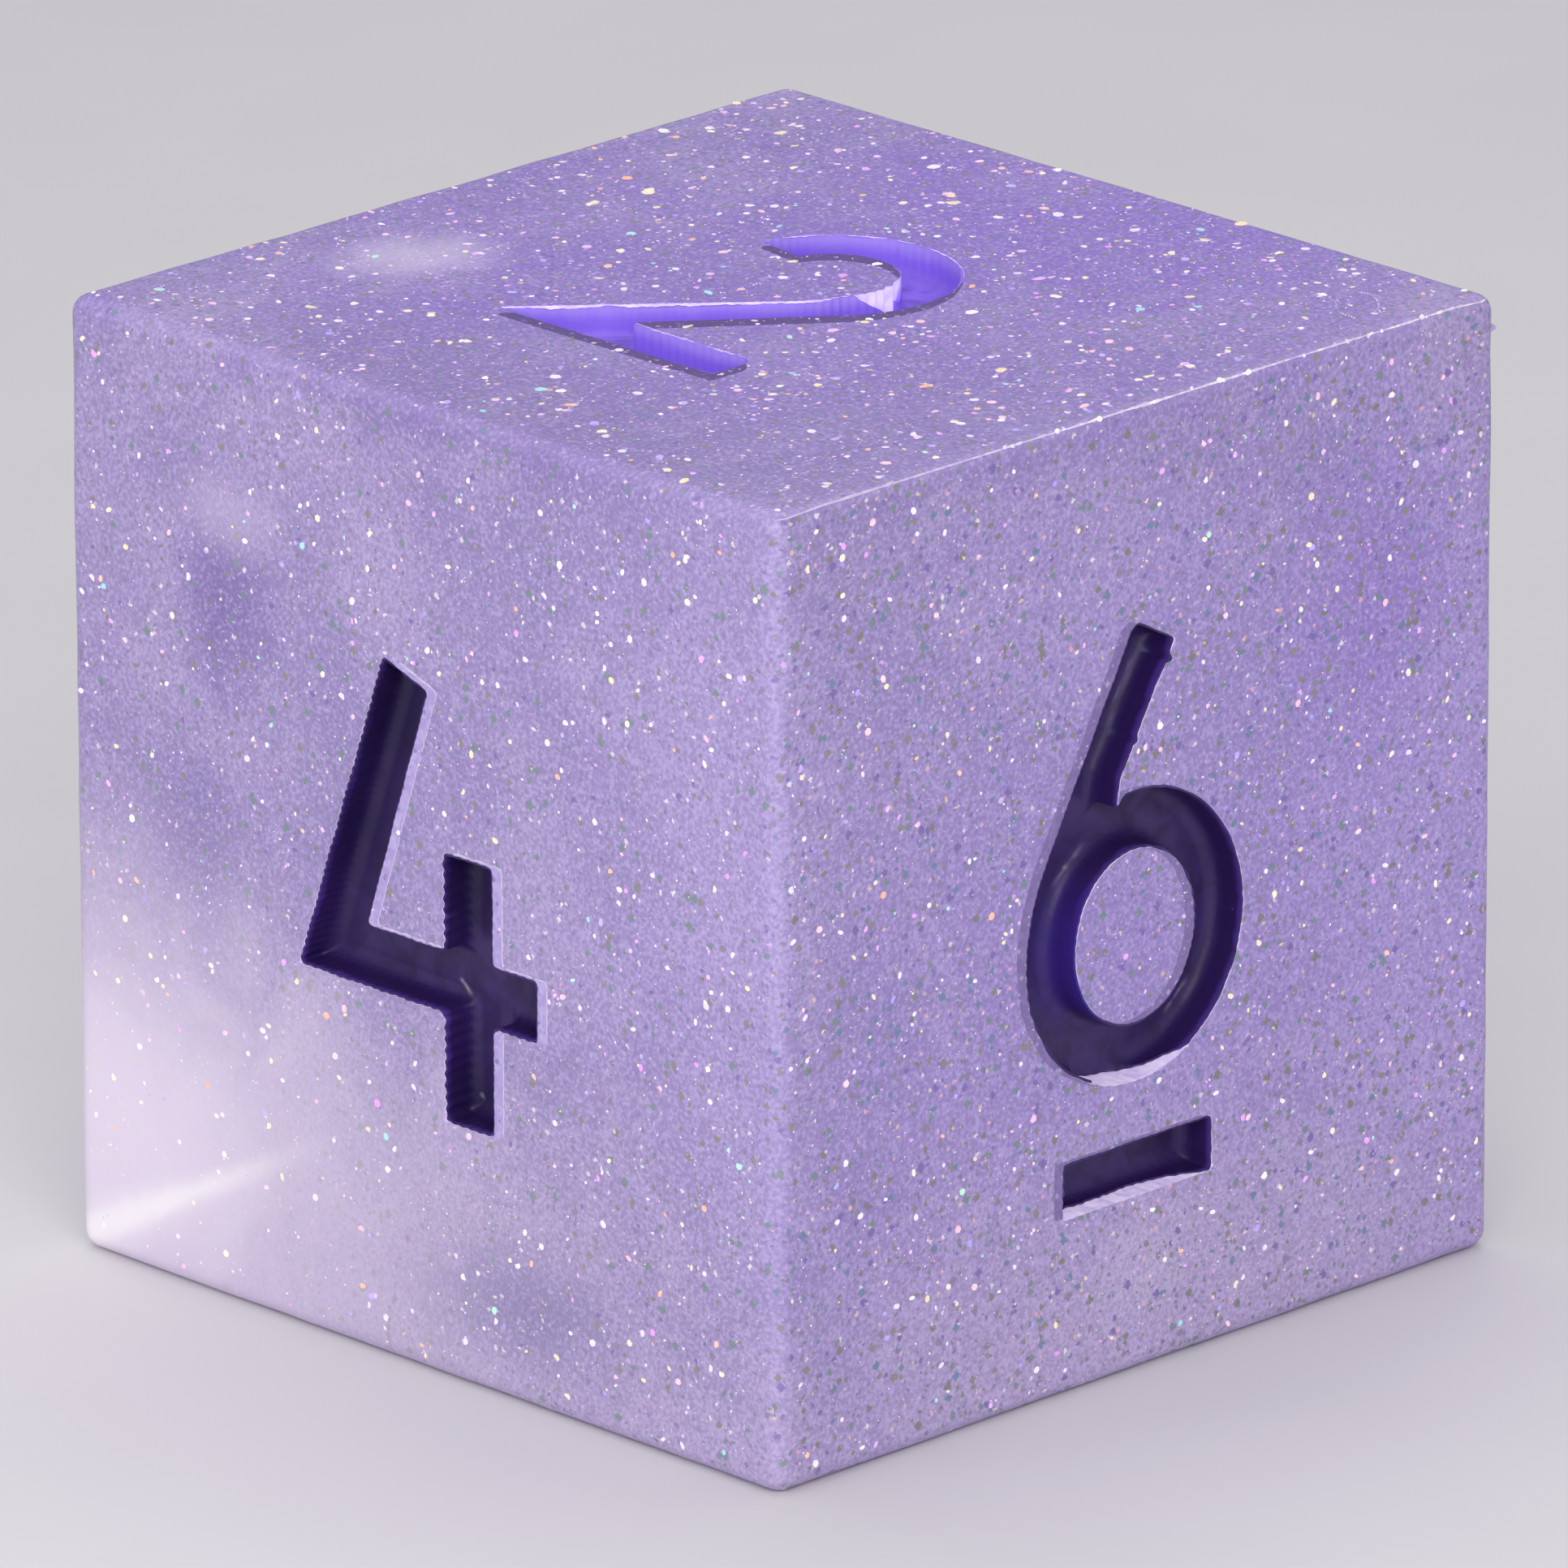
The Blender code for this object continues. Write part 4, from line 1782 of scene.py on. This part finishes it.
@dataclass
class Studio:
    """The floor, the soft lights and the camera."""

    azimuth: float = -44.486
    elevation: float = 19.05
    distance: float = 332.3
    roll: float = -0.18
    lens: float = 480.9
    sensor: float = 36.0
    clip: tuple[float, float] = (0.01, 100.0)
    aim: Place = (-0.03, -0.05, -0.16)
    floor_half: float = 3000.0
    world: Colour = (0.80, 0.79, 0.82)
    world_strength: float = 0.55
    lights: tuple[Softbox, ...] = (
        Softbox("key_softbox", (-75.0, -95.0, 62.0), 90.0, 0.085, (1.0, 0.98, 0.99)),
        Softbox("fill_softbox", (-130.0, 10.0, 40.0), 80.0, 0.035, (1.0, 0.97, 1.0)),
        Softbox("top_softbox", (20.0, 30.0, 130.0), 110.0, 0.060, (0.97, 0.96, 1.0)),
    )

    def build(self) -> None:
        """Makes the studio around the die."""
        self._floor()
        self._world()
        self._camera()
        for light in self.lights:
            light.build()

    def _floor(self) -> None:
        """A wide plain plane just under the die."""
        builder = bmesh.new()
        bmesh.ops.create_grid(builder, x_segments=1, y_segments=1, size=self.floor_half)
        floor = sealed_mesh("studio_floor", builder)
        floor.data.materials.append(FloorFinish().build())

    def _world(self) -> None:
        """An even pale surround."""
        world = bpy.data.worlds.new("studio")
        world.use_nodes = True
        background = world.node_tree.nodes["Background"]
        background.inputs["Color"].default_value = (*self.world, 1.0)
        background.inputs["Strength"].default_value = self.world_strength
        bpy.context.scene.world = world
        bpy.context.scene.view_settings.view_transform = "Standard"

    def _camera(self) -> None:
        """The camera at its azimuth and elevation round the die."""
        azimuth, elevation = math.radians(self.azimuth), math.radians(self.elevation)
        back = Vector((
            math.sin(azimuth) * math.cos(elevation),
            -math.cos(azimuth) * math.cos(elevation),
            math.sin(elevation),
        ))
        data = bpy.data.cameras.new("camera")
        data.sensor_width, data.lens = self.sensor, self.lens
        data.clip_start, data.clip_end = self.clip
        camera = bpy.data.objects.new("camera", data)
        camera.rotation_mode = "QUATERNION"
        camera.location = (die_box()[0] + Vector(self.aim) + back * self.distance) * METRES_PER_MM
        roll = Quaternion((0, 0, 1), math.radians(self.roll))
        camera.rotation_quaternion = (-back).to_track_quat("-Z", "Y") @ roll
        bpy.context.scene.collection.objects.link(camera)
        bpy.context.scene.camera = camera


# ---------------------------------------------------------------- assembly


def engravings() -> list[Engraving]:
    """The seven engravings, with their painted bands and the bare stretches of their walls.

    Returns:
        The engravings, read off the CAD body.
    """
    # painted reflection bands for the four, a painted shade band for the two
    silver = (Band(PaintedSeeThroughBand.BRIGHT, (0.235, 0.055)), Band(PaintedSeeThroughBand.SILVER, (0.21, 0.03)))
    dark = (Band(PaintedSeeThroughBand.DARK, (0.24, -0.27)),)
    hook = BareStretch((1.40, 1.40), (0.60, 0.66), (0.1, 0.1, 0.9, 0.05))
    diagonal = BareStretch((-0.35, -1.00), (1.30, 1.35), (0.3, 0.3, 0.2, 0.3), 0.055)
    tip = BareStretch((-2.15, -2.95), (0.60, 0.72), (0.3, 0.2, 0.3, 0.2), 0.055)
    bowl = BareStretch((-0.02, -3.10), (1.08, 0.55), (0.03, 1.3, 0.1, 0.1))
    ledge = BareStretch((-0.20, -4.95), (1.64, 0.30), (0.04, 0.9, 0.05, 0.05), 0.56)
    made = [
        Engraving("numeral_1", Face.ONE.value, (Band(PaintedSeeThroughBand.FAINT, (-0.20, 0.05)),)),
        Engraving("numeral_2", Face.TWO.value, dark, (hook, diagonal, tip)),
        Engraving("numeral_3", Face.THREE.value, (Band(PaintedSeeThroughBand.FAINT, (0.20, 0.05)),)),
        Engraving("numeral_4", Face.FOUR.value, silver),
        Engraving("numeral_5", Face.FIVE.value, (Band(PaintedSeeThroughBand.FAINT, (0.20, 0.05)),)),
        Engraving("numeral_6", Face.SIX.value, (Band(PaintedSeeThroughBand.FAINT, (-0.22, 0.06)),), (bowl,),
                  nicks=((0.57, 3.71, 0.14), (-0.15, 2.53, 0.07)), step_depth=0.03),
        Engraving("numeral_6_underline", Face.SIX.value, (Band(PaintedSeeThroughBand.FAINT, (-0.20, 0.05)),), (ledge,),
                  step_depth=0.03),
    ]
    for engraving in made:
        engraving.read()
        LOG.info("%s: %d loops, %.2f mm deep", engraving.name, len(engraving.loops), engraving.depth)
    return made


def painted_light_on_paint() -> dict[str, dict[str, object]]:
    """What sets a numeral's paint apart from the usual, all of it painted light and shade: a lit copy of
    the colours for the two, and painted shadows and highlights on the four and the six.

    Returns:
        The settings of its finish, by the numeral's name.
    """
    return {
        # painted light: a lit copy of the paint, brighter violet than on the other faces
        "numeral_2": {
            "pool": (0.325, 0.195, 0.890), "painted_shade_wall": (0.350, 0.205, 0.910),
            "thin": (0.47, 0.34, 0.92), "thin_reach": 0.30,
        },
        "numeral_4": {
            "painted_light_and_shade": (
                # painted shadows in the four's strokes
                Cloud((-7.4, 1.1, 11.0), (1.5, 1.3, 2.6), (0.012, 0.005, 0.048), 0.75),
                Cloud((-7.4, 1.9, 8.7), (1.5, 1.2, 2.2), (0.014, 0.006, 0.055), 0.65),
                Cloud((-7.4, -0.5, 8.2), (1.5, 1.0, 1.4), (0.013, 0.006, 0.050), 0.75),
                Cloud((-7.4, -0.5, 4.6), (1.5, 1.0, 1.1), (0.014, 0.006, 0.055), 0.60),
                # painted highlight streaks
                PaintedLightStreak((-7.36, -0.32, 6.45), (-7.36, -0.72, 6.12), 0.11, (0.55, 0.50, 0.60), 0.8),
                PaintedLightStreak((-7.36, -0.76, 4.66), (-7.36, -0.84, 4.56), 0.08, (0.50, 0.44, 0.60), 0.6),
            ),
        },
        "numeral_6": {
            "painted_light_and_shade": (
                # painted highlight streaks
                PaintedLightStreak((-1.10, -7.36, 8.50), (-0.62, -7.36, 8.86), 0.09, (0.36, 0.31, 0.42), 0.8),
                PaintedLightStreak((-1.10, -7.36, 8.50), (-1.42, -7.36, 8.22), 0.08, (0.36, 0.31, 0.42), 0.8),
                PaintedLightStreak((1.36, -7.36, 5.76), (1.68, -7.36, 6.04), 0.08, (0.34, 0.30, 0.42), 0.8),
                PaintedLightStreak((1.36, -7.36, 5.76), (1.08, -7.36, 5.52), 0.08, (0.34, 0.30, 0.42), 0.8),
                PaintedLightStreak((0.16, -7.40, 11.34), (0.40, -7.40, 11.72), 0.06, (0.20, 0.16, 0.34), 0.7),
                PaintedLightStreak((0.16, -7.40, 11.34), (-0.22, -7.40, 10.75), 0.06, (0.20, 0.16, 0.34), 0.7),
                # painted light: lighter violet where light comes through the resin
                Cloud((-1.30, -8.0, 7.0), (0.85, 1.5, 1.9), (0.050, 0.022, 0.270), 0.95),
                Cloud((-1.20, -8.0, 10.2), (0.75, 1.5, 1.3), (0.050, 0.024, 0.200), 0.80),
            ),
        },
    }


def main() -> None:
    """Builds every piece in order."""
    cut = engravings()
    body = CastBody(cut).build()
    LOG.info("%s: %d faces", body.name, len(body.data.polygons))
    painted_light = painted_light_on_paint()
    for engraving in cut:
        # each numeral's painted light and shade
        painted_light_settings = painted_light.get(engraving.name, {})
        finish = PaintFinish(engraving.name + "_purple", engraving.face, **painted_light_settings)
        paint = NumeralPaint(engraving, finish).build()
        LOG.info("%s: %d faces", paint.name, len(paint.data.polygons))
    for flakes in GlitterFlakes(cut).build():
        LOG.info("%s: %d faces", flakes.name, len(flakes.data.polygons))
    for mark in (CapSeam(), BubbleMark()):
        piece = mark.build()
        LOG.info("%s: %d faces", piece.name, len(piece.data.polygons))
    Studio().build()
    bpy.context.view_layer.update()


if __name__ == "__main__":
    logging.basicConfig(level=logging.INFO, format="%(name)s: %(message)s")
    main()
